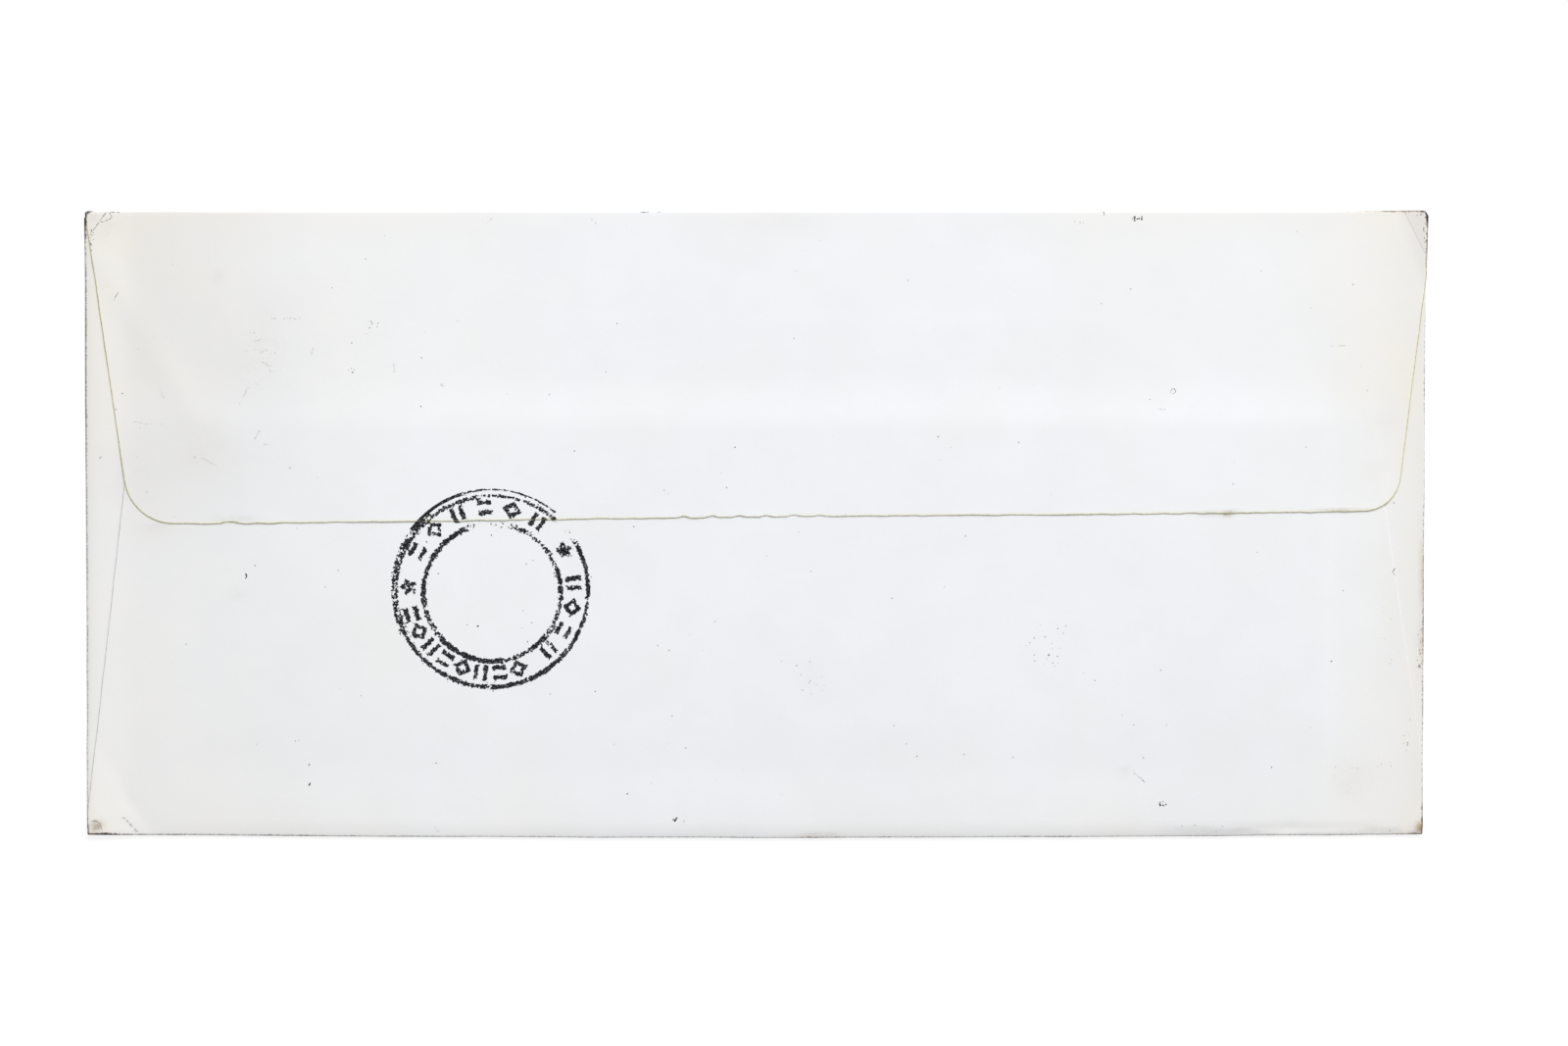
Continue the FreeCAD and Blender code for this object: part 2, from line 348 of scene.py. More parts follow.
def rounded_corner(corner, to_side, to_tip, radius):
    """Points round a corner of the seal flap, from its side to its cut edge."""
    half_turn = math.acos(-np.dot(to_side, to_tip)) / 2
    middle_way = (np.array(to_side) + to_tip) / np.linalg.norm(np.array(to_side) + to_tip)
    centre = corner + middle_way * radius / math.cos(half_turn)
    outward = math.atan2(-middle_way[1], -middle_way[0])
    turning = math.copysign(1, to_side[0] * to_tip[1] - to_side[1] * to_tip[0])
    angles = outward + turning * np.linspace(half_turn, -half_turn, FLAP_CORNER_ROWS)
    return centre + radius * np.stack([np.cos(angles), np.sin(angles)], 1)


def unit(x, y):
    """A direction of length 1."""
    size = math.hypot(x, y)
    return x / size, y / size


def flare(y):
    """How far the seal flap stands out over the right side fold, near the top fold."""
    return FLAP_OVERHANG * np.clip((y - FLARE_START) / (TOP - FLARE_START), 0, 1)


def fold_gap(x, y):
    """How far each point lies from the envelope's outline."""
    side = np.where(x > 0, RIGHT + flare(y) - x, RIGHT + x)
    return np.minimum(side, TOP - np.abs(y))


def seal_flap_sides():
    """The left and right ends of the seal flap's rows, from its fold down to its cut edge."""
    tip = unit(FLAP_RIGHT[0] - FLAP_LEFT[0], FLAP_RIGHT[1] - FLAP_LEFT[1])
    left_corner = rounded_corner(FLAP_LEFT, unit(-FLAP_LEFT_SLANT, 1), tip, FLAP_LEFT_RADIUS)
    right_corner = rounded_corner(
        FLAP_RIGHT, unit(FLAP_RIGHT_SLANT, 1), (-tip[0], -tip[1]), FLAP_RIGHT_RADIUS
    )
    fold_y = TOP - TOP_FOLD - PAPER / 2
    share = np.linspace(0, 1, FLAP_SIDE_ROWS, endpoint=False) ** 1.25
    left_y = fold_y + (left_corner[0, 1] - fold_y) * share
    right_y = fold_y + (right_corner[0, 1] - fold_y) * share
    left_x = FLAP_LEFT[0] - FLAP_LEFT_SLANT * (left_y - FLAP_LEFT[1])
    right_x = FLAP_RIGHT[0] + FLAP_RIGHT_SLANT * (right_y - FLAP_RIGHT[1])
    right_x = np.minimum(right_x, RIGHT + flare(right_y))
    left_x = np.maximum(left_x, FLAP_LEFT_END)
    left = np.concatenate([np.stack([left_x, left_y], 1), left_corner])
    right = np.concatenate([np.stack([right_x, right_y], 1), right_corner])
    return left, right


def column_shares():
    """Where a row's points lie between its ends, closer together beside the ends."""
    edge = np.array(EDGE_SHARES)
    inner = np.linspace(edge[-1], 1 - edge[-1], COLUMNS)[1:-1]
    return np.concatenate([edge, inner, 1 - edge[::-1]])


def rows_between(left, right, shares):
    """Rows of points from left ends to right ends."""
    plan = left[:, None, :] + (right - left)[:, None, :] * shares[None, :, None]
    return plan[..., 0], plan[..., 1]


def flap_curl(x, y, cut_gap):
    """How far the seal flap's cut edge has lifted from the paper under it."""
    return np.clip(0.015 + 0.05 * lumps(x, y, 6, 31), 0, 0.1) * fading(cut_gap, CURL_REACH)


def flap_cut_gap(x, y):
    """How far points lie from the seal flap's two sides and cut edge."""
    left, right = seal_flap_sides()
    return gap_to_chain(x, y, np.concatenate([left, right[::-1]]))


def seal_flap_rows(shares):
    """The seal flap, from its fold to its cut edge."""
    x, y = rows_between(*seal_flap_sides(), shares)
    cut_gap = flap_cut_gap(x, y)
    flat_y = 2 * TOP - y
    from_tip = np.clip(y - flap_line(x), 0, None)
    y = y + flap_raggedness(x) * np.exp(-from_tip) * ramp(x, -99, -93) * (1 - ramp(x, 98, 104))
    z = seal_height(x, y) + flap_curl(x, y, cut_gap)
    return np.stack([x, y, z, x, flat_y], -1), cut_gap


def back_panel_rows(shares):
    """The back panel, from its fold to the cut edge that the seal flap hides."""
    start = -TOP + BOTTOM_FOLD + PAPER / 2
    near_fold = start + np.array(BACK_ROWS_BY_FOLD)
    y = np.concatenate([near_fold, np.linspace(start + BACK_ROWS_START, BACK_TOP, BACK_ROWS)])
    end = RIGHT - SIDE_FOLD / 2
    left_seam, right_seam = seams(y)
    left_x = np.maximum(left_seam, -end)
    right_x = np.minimum(right_seam, end)
    x, y = rows_between(np.stack([left_x, y], 1), np.stack([right_x, y], 1), shares)
    cut_gap = np.minimum(x - left_x[:, None], right_x[:, None] - x)
    return np.stack([x, y, back_height(x, y), x, -2 * TOP - y], -1), cut_gap


def front_panel_rows(shares):
    """The front panel, from the top fold to the bottom fold."""
    top = TOP - TOP_FOLD - PAPER / 2
    bottom = -TOP + BOTTOM_FOLD + PAPER / 2
    end = RIGHT - SIDE_FOLD - PAPER / 2
    inner = np.linspace(top - SIDE_FLAP_SETBACK, bottom + SIDE_FLAP_SETBACK, FRONT_ROWS)
    y = np.concatenate([[top], inner, [bottom]])
    x, y = rows_between(np.stack([0 * y - end, y], 1), np.stack([0 * y + end, y], 1), shares)
    return np.stack([x, y, front_height(x, y), x, y], -1)


def fold_rows(upper, lower, way):
    """Rows round a fold, between an upper and a lower row, bulging the way of the fold."""
    radius = (upper[:, 2] - lower[:, 2]) / 2
    rows = []
    for angle in np.linspace(0, math.pi, FOLD_STEPS + 2)[1:-1]:
        row = upper + (lower - upper) * (1 - math.cos(angle)) / 2
        row[:, :2] += np.abs(radius)[:, None] * math.sin(angle) * np.array(way)
        row[:, 3:] = upper[:, 3:] + (lower - upper)[:, 3:] * angle / math.pi
        rows.append(row)
    return np.array(rows)


def side_flap_columns(root, way):
    """A side flap's fold and flap, as columns beside the front panel's end, root."""
    spread_out = 2 * RIGHT * way
    upper = root.copy()
    upper[:, 2] = side_height(root[:, 0], root[:, 1])
    upper[:, 3] = spread_out - root[:, 0]
    columns = list(fold_rows(root, upper, (way, 0)))
    depth_end = SIDE_FLAP - SIDE_FOLD - PAPER / 2
    for depth in (*SIDE_FLAP_STEPS, depth_end):
        x = root[:, 0] - way * depth
        y = root[:, 1] * (1 - SIDE_FLAP_TAPER * depth / TOP)
        columns.append(np.stack([x, y, side_height(x, y), spread_out - x, y], 1))
    return np.array(columns)


class Sheet:
    """The folded sheet's points, faces and what is known of each point."""

    def __init__(self):
        self.points = []
        self.cut_gaps = []
        self.on_flap = []
        self.faces = []

    def add(self, points, cut_gap=NO_CUT_EDGE, on_flap=0.0):
        """Adds rows of points, with their place in the flat blank, and returns their numbers."""
        shape = points.shape[:-1]
        first = sum(len(block) for block in self.points)
        self.points.append(points.reshape(-1, 5))
        self.cut_gaps.append(np.broadcast_to(cut_gap, shape).reshape(-1))
        self.on_flap.append(np.broadcast_to(on_flap, shape).reshape(-1))
        return first + np.arange(np.prod(shape)).reshape(shape)

    def weave(self, numbers):
        """Adds the faces between rows of numbered points."""
        corners = (numbers[:-1, :-1], numbers[:-1, 1:], numbers[1:, 1:], numbers[1:, :-1])
        self.faces.append(np.stack(corners, -1).reshape(-1, 4))


def worn_plan(x, y):
    """Moves points in plan: rounded corners, wavy folds and a bottom fold that bows out."""
    wave = 0.05 * lumps(y, 0 * y, 14, 41) + 0.04 * lumps(y, 0 * y, 3, 42)
    x = x + wave * ramp(np.abs(x), RIGHT - 8, RIGHT)
    set_in = np.where(x < 0, 0.25 - 0.06 * y / TOP, -0.08 - 0.14 * ramp(-y, -12, 6))
    x = x + set_in * ramp(np.abs(x), RIGHT - 8, RIGHT)
    bow = 0.32 - 0.58 * (1 - (x / RIGHT) ** 2) + 0.04 * lumps(x, 0 * x, 9, 43)
    y = y + bow * ramp(-y, TOP - 30, TOP)
    y = y + (0.03 * lumps(x, 0 * x, 11, 44) + 0.05) * ramp(y, TOP - 8, TOP)
    radius = np.where(x < 0, LEFT_CORNERS, RIGHT_CORNERS)
    out_x = np.abs(x) - (RIGHT - radius)
    out_y = np.abs(y) - (TOP - radius)
    out = np.maximum(np.hypot(out_x, out_y), radius)
    pull = np.where((out_x > 0) & (out_y > 0), radius / out, 1)
    x = x - np.sign(x) * out_x * (1 - pull)
    y = y - np.sign(y) * out_y * (1 - pull)
    return x, y


def fold_sheet():
    """The whole folded sheet as one mesh surface, in the middle of its paper."""
    shares = column_shares()
    sheet = Sheet()
    flap, flap_gap = seal_flap_rows(shares)
    back, back_gap = back_panel_rows(shares)
    front = front_panel_rows(shares)
    front_numbers = sheet.add(front)
    flap_numbers = sheet.add(flap, flap_gap, 1.0)
    top_fold = sheet.add(fold_rows(flap[0], front[0], (0, 1)), NO_CUT_EDGE, 1.0)
    sheet.weave(np.concatenate([flap_numbers[::-1], top_fold, front_numbers[:1]]))
    back_numbers = sheet.add(back, back_gap)
    bottom_fold = sheet.add(fold_rows(front[-1], back[0], (0, -1)))
    sheet.weave(np.concatenate([front_numbers, bottom_fold, back_numbers]))
    for end, way in ((0, -1), (-1, 1)):
        columns = sheet.add(side_flap_columns(front[1:-1, end], way))
        numbers = np.concatenate([front_numbers[None, 1:-1, end], columns])
        sheet.weave(numbers[:, ::-way])
    return sheet


def tone(red, green, blue):
    """A colour as seen on a screen, 0 to 255, as the shader wants it."""
    def level(value):
        share = value / 255
        return share / 12.92 if share <= 0.04045 else ((share + 0.055) / 1.055) ** 2.4
    return level(red), level(green), level(blue), 1.0


# Colours of the paper, of its marks, of painted shade and of the ink.
CLEAN_PAPER = tone(243, 245, 249)
YELLOWED_PAPER = tone(243, 240, 233)
MOTTLED_PAPER = tone(239, 240, 241)
# Painted shade, which also gives faint random greying.
SHADE_AND_GREYING = tone(128, 124, 122)
# Painted shade on the bent corner, and along its bend.
BENT_CORNER_SHADE = tone(222, 216, 213)
BENT_FOLD_SHADE = tone(128, 120, 116)
DRIED_GUM = tone(240, 237, 214)
RIM_DARK = tone(134, 127, 58)
RIM_PALE = tone(184, 176, 112)
# Painted shadow beside the left seam.
PAINTED_SEAM_SHADOW = tone(128, 122, 120)
STAIN_BROWN = tone(156, 134, 98)
# Grey stains, and painted shade above the lower fold.
GREY_STAIN_AND_SHADE = tone(124, 122, 124)
# Soil along the folds, and painted shade of the folds.
SOIL_AND_SHADE_GREY = tone(70, 58, 66)
SOIL_RUST = tone(142, 100, 60)
DUST_GREY = tone(110, 106, 104)
GRIME_GREY = tone(96, 92, 92)
THICK_INK = tone(20, 20, 25)
THIN_INK = tone(112, 112, 120)
BARE_FLECK = tone(190, 191, 196)
FAINT_INK = tone(232, 230, 228)

# Stains: where the middle lies, the two half-widths, how strong it is.
BROWN_STAINS = (
    (81.0, 2.1, 1.0, 0.3, 0.85),
    (77.8, 2.1, 1.8, 0.2, 0.3),
    (100.2, 2.45, 4.2, 0.25, 0.4),
    (-102.4, -0.7, 2.6, 0.7, 0.14),
    (-88.5, 0.9, 4.0, 0.5, 0.14),
    (-111.0, 11.9, 2.2, 0.3, 0.26),
    (-113.4, 17.8, 1.4, 1.2, 0.18),
    (-95.0, 11.6, 4.5, 1.2, 0.10),
    (-91.8, 42.4, 1.3, 1.5, 0.07),
    (-88.8, -11.9, 1.6, 1.0, 0.07),
    (108.0, 17.5, 2.4, 1.5, 0.05),
    (106.0, 9.3, 2.5, 1.5, 0.04),
    (102.5, -44.0, 4.5, 3.5, 0.07),
    (11.0, -53.2, 3.5, 0.5, 0.32),
    (4.0, 51.8, 6.5, 1.8, 0.05),
    (114.75, -9.0, 0.45, 5.5, 0.5),
    (9.7, -27.0, 2.2, 3.4, 0.03),
    (63.5, -42.4, 1.1, 0.9, 0.1),
    (115.0, -21.0, 0.8, 3.4, 0.38),
    (109.5, 53.6, 6.5, 0.22, 0.4),
    (-113.3, -52.2, 1.1, 0.9, 0.9),
    (114.5, -52.5, 0.9, 1.0, 0.9),
    (-113.2, 52.2, 0.9, 1.3, 0.12),
    (-86.0, 30.0, 8.0, 9.0, 0.035),
    (-109.0, 8.0, 5.0, 5.0, 0.04),
    (-93.0, 12.0, 6.0, 5.0, 0.05),
    (-111.0, 50.5, 2.5, 3.0, 0.08),
)
GREY_STAINS = (
    (109.0, 53.6, 6.0, 0.22, 0.35),
    (-84.0, 28.0, 4.0, 6.0, 0.025),
    (-66.0, 33.0, 3.0, 4.0, 0.015),
    (109.0, -20.0, 2.5, 9.0, 0.02),
)

# Soil rubbed into the folds, with painted fold shade: middle, half-widths and strength.
FOLD_SOIL_AND_SHADE = (
    (-115.0, 52.3, 1.2, 2.2, 0.9),
    (-115.0, 30.0, 1.0, 22.0, 0.14),
    (-115.0, -32.5, 1.0, 2.2, 0.1),
    (-111.8, -53.7, 2.2, 1.0, 0.5),
    (-115.0, -52.6, 1.0, 1.8, 0.4),
    (10.0, -53.7, 3.0, 1.0, 0.15),
    (113.8, -53.7, 2.0, 1.0, 0.25),
    (115.0, -52.8, 1.0, 1.6, 0.3),
    (115.3, 52.9, 1.8, 1.6, 0.75),
    (115.2, 47.5, 1.0, 3.2, 0.1),
    (110.0, 53.7, 5.0, 1.0, 0.6),
)


def fold_soil_and_shade(x, y):
    """How much soil, with painted shade of the fold, darkens the nearest fold: a base along the left,
    right and bottom folds, patchy along all of them, and blots at the corners.
    """
    along = 0.14 * lumps(x + y, x - y, 7, 52) + 0.12 * lumps(x + y, x - y, 2, 53)
    along *= np.where(x < 0, 0.5, 1.0)
    right_side = 0.22 + 0.13 * ramp(-y, -14, -2)
    left_side = 0.37 - 0.13 * ramp(-y, 20, 40)
    sides = np.where(x < 0, left_side, right_side) * ramp(np.abs(x), RIGHT - 2, RIGHT)
    bottom = (0.18 + 0.18 * ramp(-x, 45, 80)) * ramp(-y, TOP - 2, TOP)
    return np.clip(np.maximum(sides, bottom) + along + blots(x, y, FOLD_SOIL_AND_SHADE), 0, 1)


def lower_fold_painted_shade(x, y):
    """Painted shade of the lower edge curling under: soft grey in a wavy strip above the lower fold,
    towards its right end.
    """
    wavy = 1.3 - 0.7 * ramp(x, 84, 92) + 0.7 * lumps(x, 0 * x, 6, 54)
    return 0.17 * ramp(wavy - (TOP + y), -0.25, 0.25) * ramp(x, 66, 80)


def warmth(x, y):
    """How far the paper has yellowed, from its handled edges inwards."""
    left = 0.50 * fading(RIGHT + x, 34)
    right = 0.9 * fading(RIGHT - x, 9)
    folds = 0.35 * fading(TOP + y, 7) + 0.30 * fading(TOP - y, 5)
    corners = 0.30 * (x / 95) ** 2 * ramp(y, -5, 40)
    patches = 0.12 * lumps(x, y, 21, 51) + 0.10 * lumps(x, y, 8, 55)
    return np.clip(0.03 + left + right + folds + corners + patches, 0, 1)


def painted_shade_and_greying(x, y):
    """Painted shade: darkest along the left fold, broad over the left end and more on the flap's left,
    in strips along the top fold and the right end, faint over the back's lower right, with faint
    random greying.
    """
    right = 0.075 * fading(RIGHT - x, 5) + 0.014 * ramp(x, 40, 75) * ramp(-y, -5, 15)
    top = 0.022 * fading(TOP - y, 2.5) + 0.05 * fading(TOP - y, 0.4)
    left_fold = 0.16 * fading(RIGHT + x, 0.7)
    left = 0.080 * ramp(-x, 60, 104) * (0.45 + 0.55 * ramp(y, -8, 12))
    left = left * (1 - 0.8 * ramp(-x, 105, 110))
    patches = 0.012 * lumps(x, y, 26, 56) + 0.008 * lumps(x, y, 9, 57)
    return np.clip(right + left + left_fold + top + patches + 0.01, 0, 1)


def blots(x, y, stains):
    """How strongly soft stains colour each point."""
    strength = np.zeros(np.shape(x))
    for middle_x, middle_y, half_x, half_y, amount in stains:
        away = ((x - middle_x) / half_x) ** 2 + ((y - middle_y) / half_y) ** 2
        strength = np.maximum(strength, amount * np.exp(-away))
    return strength


def set_attribute(mesh, name, values):
    """Stores one number for each point of a mesh."""
    mesh.attributes.new(name, "FLOAT", "POINT").data.foreach_set("value", values.astype(np.float32))


def new_object(name, mesh, material):
    """Puts a mesh in the scene as an object of one material."""
    piece = bpy.data.objects.new(name, mesh)
    bpy.context.collection.objects.link(piece)
    mesh.materials.append(material)
    return piece


def flat_map(mesh, outside_faces):
    """Lays the flat blank out as the mesh's map, with the faces inside the pocket smaller."""
    flat = np.zeros((len(mesh.vertices), 2), np.float32)
    for axis, name in enumerate(("flat_x", "flat_y")):
        values = np.zeros(len(mesh.vertices), np.float32)
        mesh.attributes[name].data.foreach_get("value", values)
        flat[:, axis] = values
    corners = np.zeros(len(mesh.loops), np.int32)
    mesh.loops.foreach_get("vertex_index", corners)
    place = flat[corners] / MAP_REACH
    side = np.arange(len(mesh.loops)) // (4 * outside_faces)
    inside = side == 1
    place[inside] *= MAP_INSIDE_SCALE
    place += np.where(inside[:, None], MAP_INSIDE, MAP_OUTSIDE)
    mesh.uv_layers.new(name="OFBake").data.foreach_set("uv", place.astype(np.float32).reshape(-1))


def soil_and_shade_sheet(mesh, x, y, on_front):
    """Stores how soiled, stained, yellowed and greyed each point of the paper is, and how much shade
    is painted on it. The front, which is hidden, stays clean.
    """
    back = np.where(on_front, 0.0, 1.0)
    set_attribute(mesh, "fold_gap", fold_gap(x, y))
    # Soil, with painted shade of the folds.
    set_attribute(mesh, "fold_soil_and_shade", fold_soil_and_shade(x, y))
    set_attribute(mesh, "brown", back * blots(x, y, BROWN_STAINS))
    # Grey stains, with painted shade above the lower fold.
    set_attribute(mesh, "grey_stain_and_shade", back * (blots(x, y, GREY_STAINS) + lower_fold_painted_shade(x, y)))
    # Painted shade, with faint random greying.
    set_attribute(mesh, "shade_and_greying", back * painted_shade_and_greying(x, y))
    set_attribute(mesh, "warmth", (FRONT_WARMTH + (1 - FRONT_WARMTH) * back) * warmth(x, y))


def give_thickness(piece):
    """Makes the paper's thickness part of a piece's mesh, half of it on each side."""
    surface = piece.data
    thicken = piece.modifiers.new("paper_thickness", "SOLIDIFY")
    thicken.thickness = PAPER * MM
    thicken.offset = 0
    evaluated = piece.evaluated_get(bpy.context.evaluated_depsgraph_get())
    solid = bpy.data.meshes.new_from_object(evaluated)
    piece.modifiers.clear()
    piece.data = solid
    bpy.data.meshes.remove(surface)


def make_envelope(material):
    """The folded sheet with its thickness."""
    sheet = fold_sheet()
    points = np.concatenate(sheet.points)
    faces = np.concatenate(sheet.faces)
    x, y = points[:, 0].copy(), points[:, 1].copy()
    points[:, 0], points[:, 1] = worn_plan(x, y)
    flat_x, flat_y = points[:, 3], points[:, 4]
    on_front = (np.abs(flat_x) < RIGHT - FRONT_MARGIN) & (np.abs(flat_y) < TOP - FRONT_MARGIN)
    mesh = bpy.data.meshes.new("envelope_paper")
    mesh.from_pydata((points[:, :3] * MM).tolist(), [], faces.tolist())
    set_attribute(mesh, "cut_gap", np.concatenate(sheet.cut_gaps))
    set_attribute(mesh, "on_flap", np.concatenate(sheet.on_flap))
    soil_and_shade_sheet(mesh, x, y, on_front)
    set_attribute(mesh, "flat_x", flat_x)
    set_attribute(mesh, "flat_y", flat_y)
    piece = new_object("envelope_paper", mesh, material)
    give_thickness(piece)
    flat_map(piece.data, len(faces))
    piece.data.shade_smooth()
    piece.data.set_sharp_from_angle(angle=SHARP_FOLD)
    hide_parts("envelope")
    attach(piece, "root")


def feed(tree, socket, value):
    """Links another socket to a socket, or sets it to a plain value."""
    if isinstance(value, bpy.types.NodeSocket):
        tree.links.new(value, socket)
    else:
        socket.default_value = value


def add_node(tree, kind, settings=None, **inputs):
    """A shader node with its settings and its inputs, which are named with underscores for
    spaces, or by an underscore and their number."""
    made = tree.nodes.new(kind)
    for name, value in (settings or {}).items():
        setattr(made, name, value)
    for name, value in inputs.items():
        key = int(name[1:]) if name[1:].isdigit() else name.replace("_", " ")
        feed(tree, made.inputs[key], value)
    return made.outputs[0]


def math_node(tree, operation, *values):
    """A Math node."""
    return add_node(
        tree,
        "ShaderNodeMath",
        {"operation": operation},
        **{f"_{index}": value for index, value in enumerate(values)},
    )


def spread(tree, value, low, high, first=0.0, last=1.0):
    """Maps low to high onto first to last, smoothly."""
    return add_node(
        tree,
        "ShaderNodeMapRange",
        {"interpolation_type": "SMOOTHSTEP"},
        Value=value,
        From_Min=low,
        From_Max=high,
        To_Min=first,
        To_Max=last,
    )


def mix_colour(tree, share, first, second):
    """Mixes two colours."""
    made = tree.nodes.new("ShaderNodeMix")
    made.data_type = "RGBA"
    for number, value in ((0, share), (6, first), (7, second)):
        feed(tree, made.inputs[number], value)
    return made.outputs[2]


def noise(tree, vector, scale, detail, roughness):
    """A Noise Texture of 0 to 1."""
    return add_node(
        tree,
        "ShaderNodeTexNoise",
        Vector=vector,
        Scale=scale,
        Detail=detail,
        Roughness=roughness,
    )


def new_group(name, inputs, outputs):
    """An empty shader node group, with its input and output nodes."""
    group = bpy.data.node_groups.new(name, "ShaderNodeTree")
    for socket_name, socket_type, default in inputs:
        socket = group.interface.new_socket(socket_name, in_out="INPUT", socket_type=socket_type)
        if default is not None:
            socket.default_value = default
    for socket_name, socket_type in outputs:
        group.interface.new_socket(socket_name, in_out="OUTPUT", socket_type=socket_type)
    return group, group.nodes.new("NodeGroupInput"), group.nodes.new("NodeGroupOutput")


def paper_fibre_group():
    """Fine fibres and faint mottling of uncoated paper, as a height and a mask."""
    group, given, result = new_group(
        "paper_fibre",
        (("Vector", "NodeSocketVector", None), ("Fineness", "NodeSocketFloat", 2600.0)),
        (("Height", "NodeSocketFloat"), ("Mottle", "NodeSocketFloat")),
    )
    vector, fineness = given.outputs["Vector"], given.outputs["Fineness"]
    fibre = noise(group, vector, fineness, 3.0, 0.6)
    coarse_scale = math_node(group, "MULTIPLY", fineness, 0.09)
    cockle = noise(group, vector, coarse_scale, 2.0, 0.5)
    height = math_node(group, "ADD", math_node(group, "MULTIPLY", fibre, 0.35), cockle)
    blotch = noise(group, vector, math_node(group, "MULTIPLY", fineness, 0.04), 4.0, 0.6)
    group.links.new(height, result.inputs["Height"])
    group.links.new(spread(group, blotch, 0.3, 0.7), result.inputs["Mottle"])
    return group


def flecks_group():
    """Scattered small flecks, as a mask."""
    group, given, result = new_group(
        "flecks",
        (
            ("Vector", "NodeSocketVector", None),
            ("Spacing", "NodeSocketFloat", 300.0),
            ("Size", "NodeSocketFloat", 0.06),
            ("Share", "NodeSocketFloat", 0.1),
        ),
        (("Mask", "NodeSocketFloat"),),
    )
    cells = group.nodes.new("ShaderNodeTexVoronoi")
    group.links.new(given.outputs["Vector"], cells.inputs["Vector"])
    group.links.new(given.outputs["Spacing"], cells.inputs["Scale"])
    near = math_node(group, "LESS_THAN", cells.outputs["Distance"], given.outputs["Size"])
    pick = add_node(group, "ShaderNodeSeparateColor", Color=cells.outputs["Color"])
    chosen = math_node(group, "LESS_THAN", pick, given.outputs["Share"])
    group.links.new(math_node(group, "MULTIPLY", near, chosen), result.inputs["Mask"])
    return group


def place_group(tree, group, **inputs):
    """A node group in a material."""
    made = tree.nodes.new("ShaderNodeGroup")
    made.node_tree = group
    for name, value in inputs.items():
        feed(tree, made.inputs[name], value)
    return made


def product(tree, first, *others):
    """Several values multiplied together."""
    for other in others:
        first = math_node(tree, "MULTIPLY", first, other)
    return first


def scaled_sum(tree, value, scale, added):
    """A value times a scale, plus another value."""
    return math_node(tree, "ADD", product(tree, value, scale), added)


def object_place(tree):
    """Where each point lies on the envelope, in metres."""
    return tree.nodes.new("ShaderNodeTexCoord").outputs["Object"]


def place_along_x(tree, place):
    """The lengthwise part of a place."""
    return add_node(tree, "ShaderNodeSeparateXYZ", Vector=place)


def add_bump(tree, shader, height, distance):
    """Fine relief in the shading."""
    bump = tree.nodes.new("ShaderNodeBump")
    bump.inputs["Strength"].default_value = 0.5
    bump.inputs["Distance"].default_value = distance
    tree.links.new(height, bump.inputs["Height"])
    tree.links.new(bump.outputs["Normal"], shader.inputs["Normal"])


def attribute(tree, name):
    """What is stored at each point under a name."""
    made = tree.nodes.new("ShaderNodeAttribute")
    made.attribute_name = name
    return made.outputs["Fac"]


def beyond_line(tree, place, start, end):
    """How many millimetres each point lies to the right of a line, seen from start to end."""
    run_x, run_y = unit(end[0] - start[0], end[1] - start[1])
    across = tree.nodes.new("ShaderNodeVectorMath")
    across.operation = "DOT_PRODUCT"
    tree.links.new(place, across.inputs[0])
    across.inputs[1].default_value = (run_y / MM, -run_x / MM, 0)
    return math_node(tree, "SUBTRACT", across.outputs["Value"], start[0] * run_y - start[1] * run_x)


def new_material(name):
    """A material, its node tree and its shader."""
    material = bpy.data.materials.new(name)
    material.use_nodes = True
    tree = material.node_tree
    return material, tree, tree.nodes["Principled BSDF"]


def lay_over(tree, colour, over, *shares):
    """A colour with another laid over it, as strongly as the product of some shares."""
    return mix_colour(tree, product(tree, *shares), colour, over)


def paper_tone_and_shade(tree, mottle):
    """The paper's own colour, yellowed by handling and mottled, with painted shade and faint greying
    laid over it.
    """
    colour = mix_colour(tree, attribute(tree, "warmth"), CLEAN_PAPER, YELLOWED_PAPER)
    colour = lay_over(tree, colour, MOTTLED_PAPER, spread(tree, mottle, 0.0, 1.0, 0.0, 0.35))
    # Painted shade, with faint random greying, over the paper's colour.
    return lay_over(tree, colour, SHADE_AND_GREYING, attribute(tree, "shade_and_greying"))


def add_bent_corner_shade(tree, colour, place, on_flap):
    """Painted shade on the flap's bent upper right corner beyond its bend, and a fine painted shade
    line along the bend.
    """
    bent = beyond_line(tree, place, *BENT_CORNER)
    # Painted shade beyond the bend, and a painted shade line along it.
    colour = lay_over(tree, colour, BENT_CORNER_SHADE, spread(tree, bent, 0.0, 0.2), on_flap, 0.36)
    bend_shade_line = spread(tree, math_node(tree, "ABSOLUTE", bent), 0.16, 0.02)
    return lay_over(tree, colour, BENT_FOLD_SHADE, bend_shade_line, on_flap, 0.22)


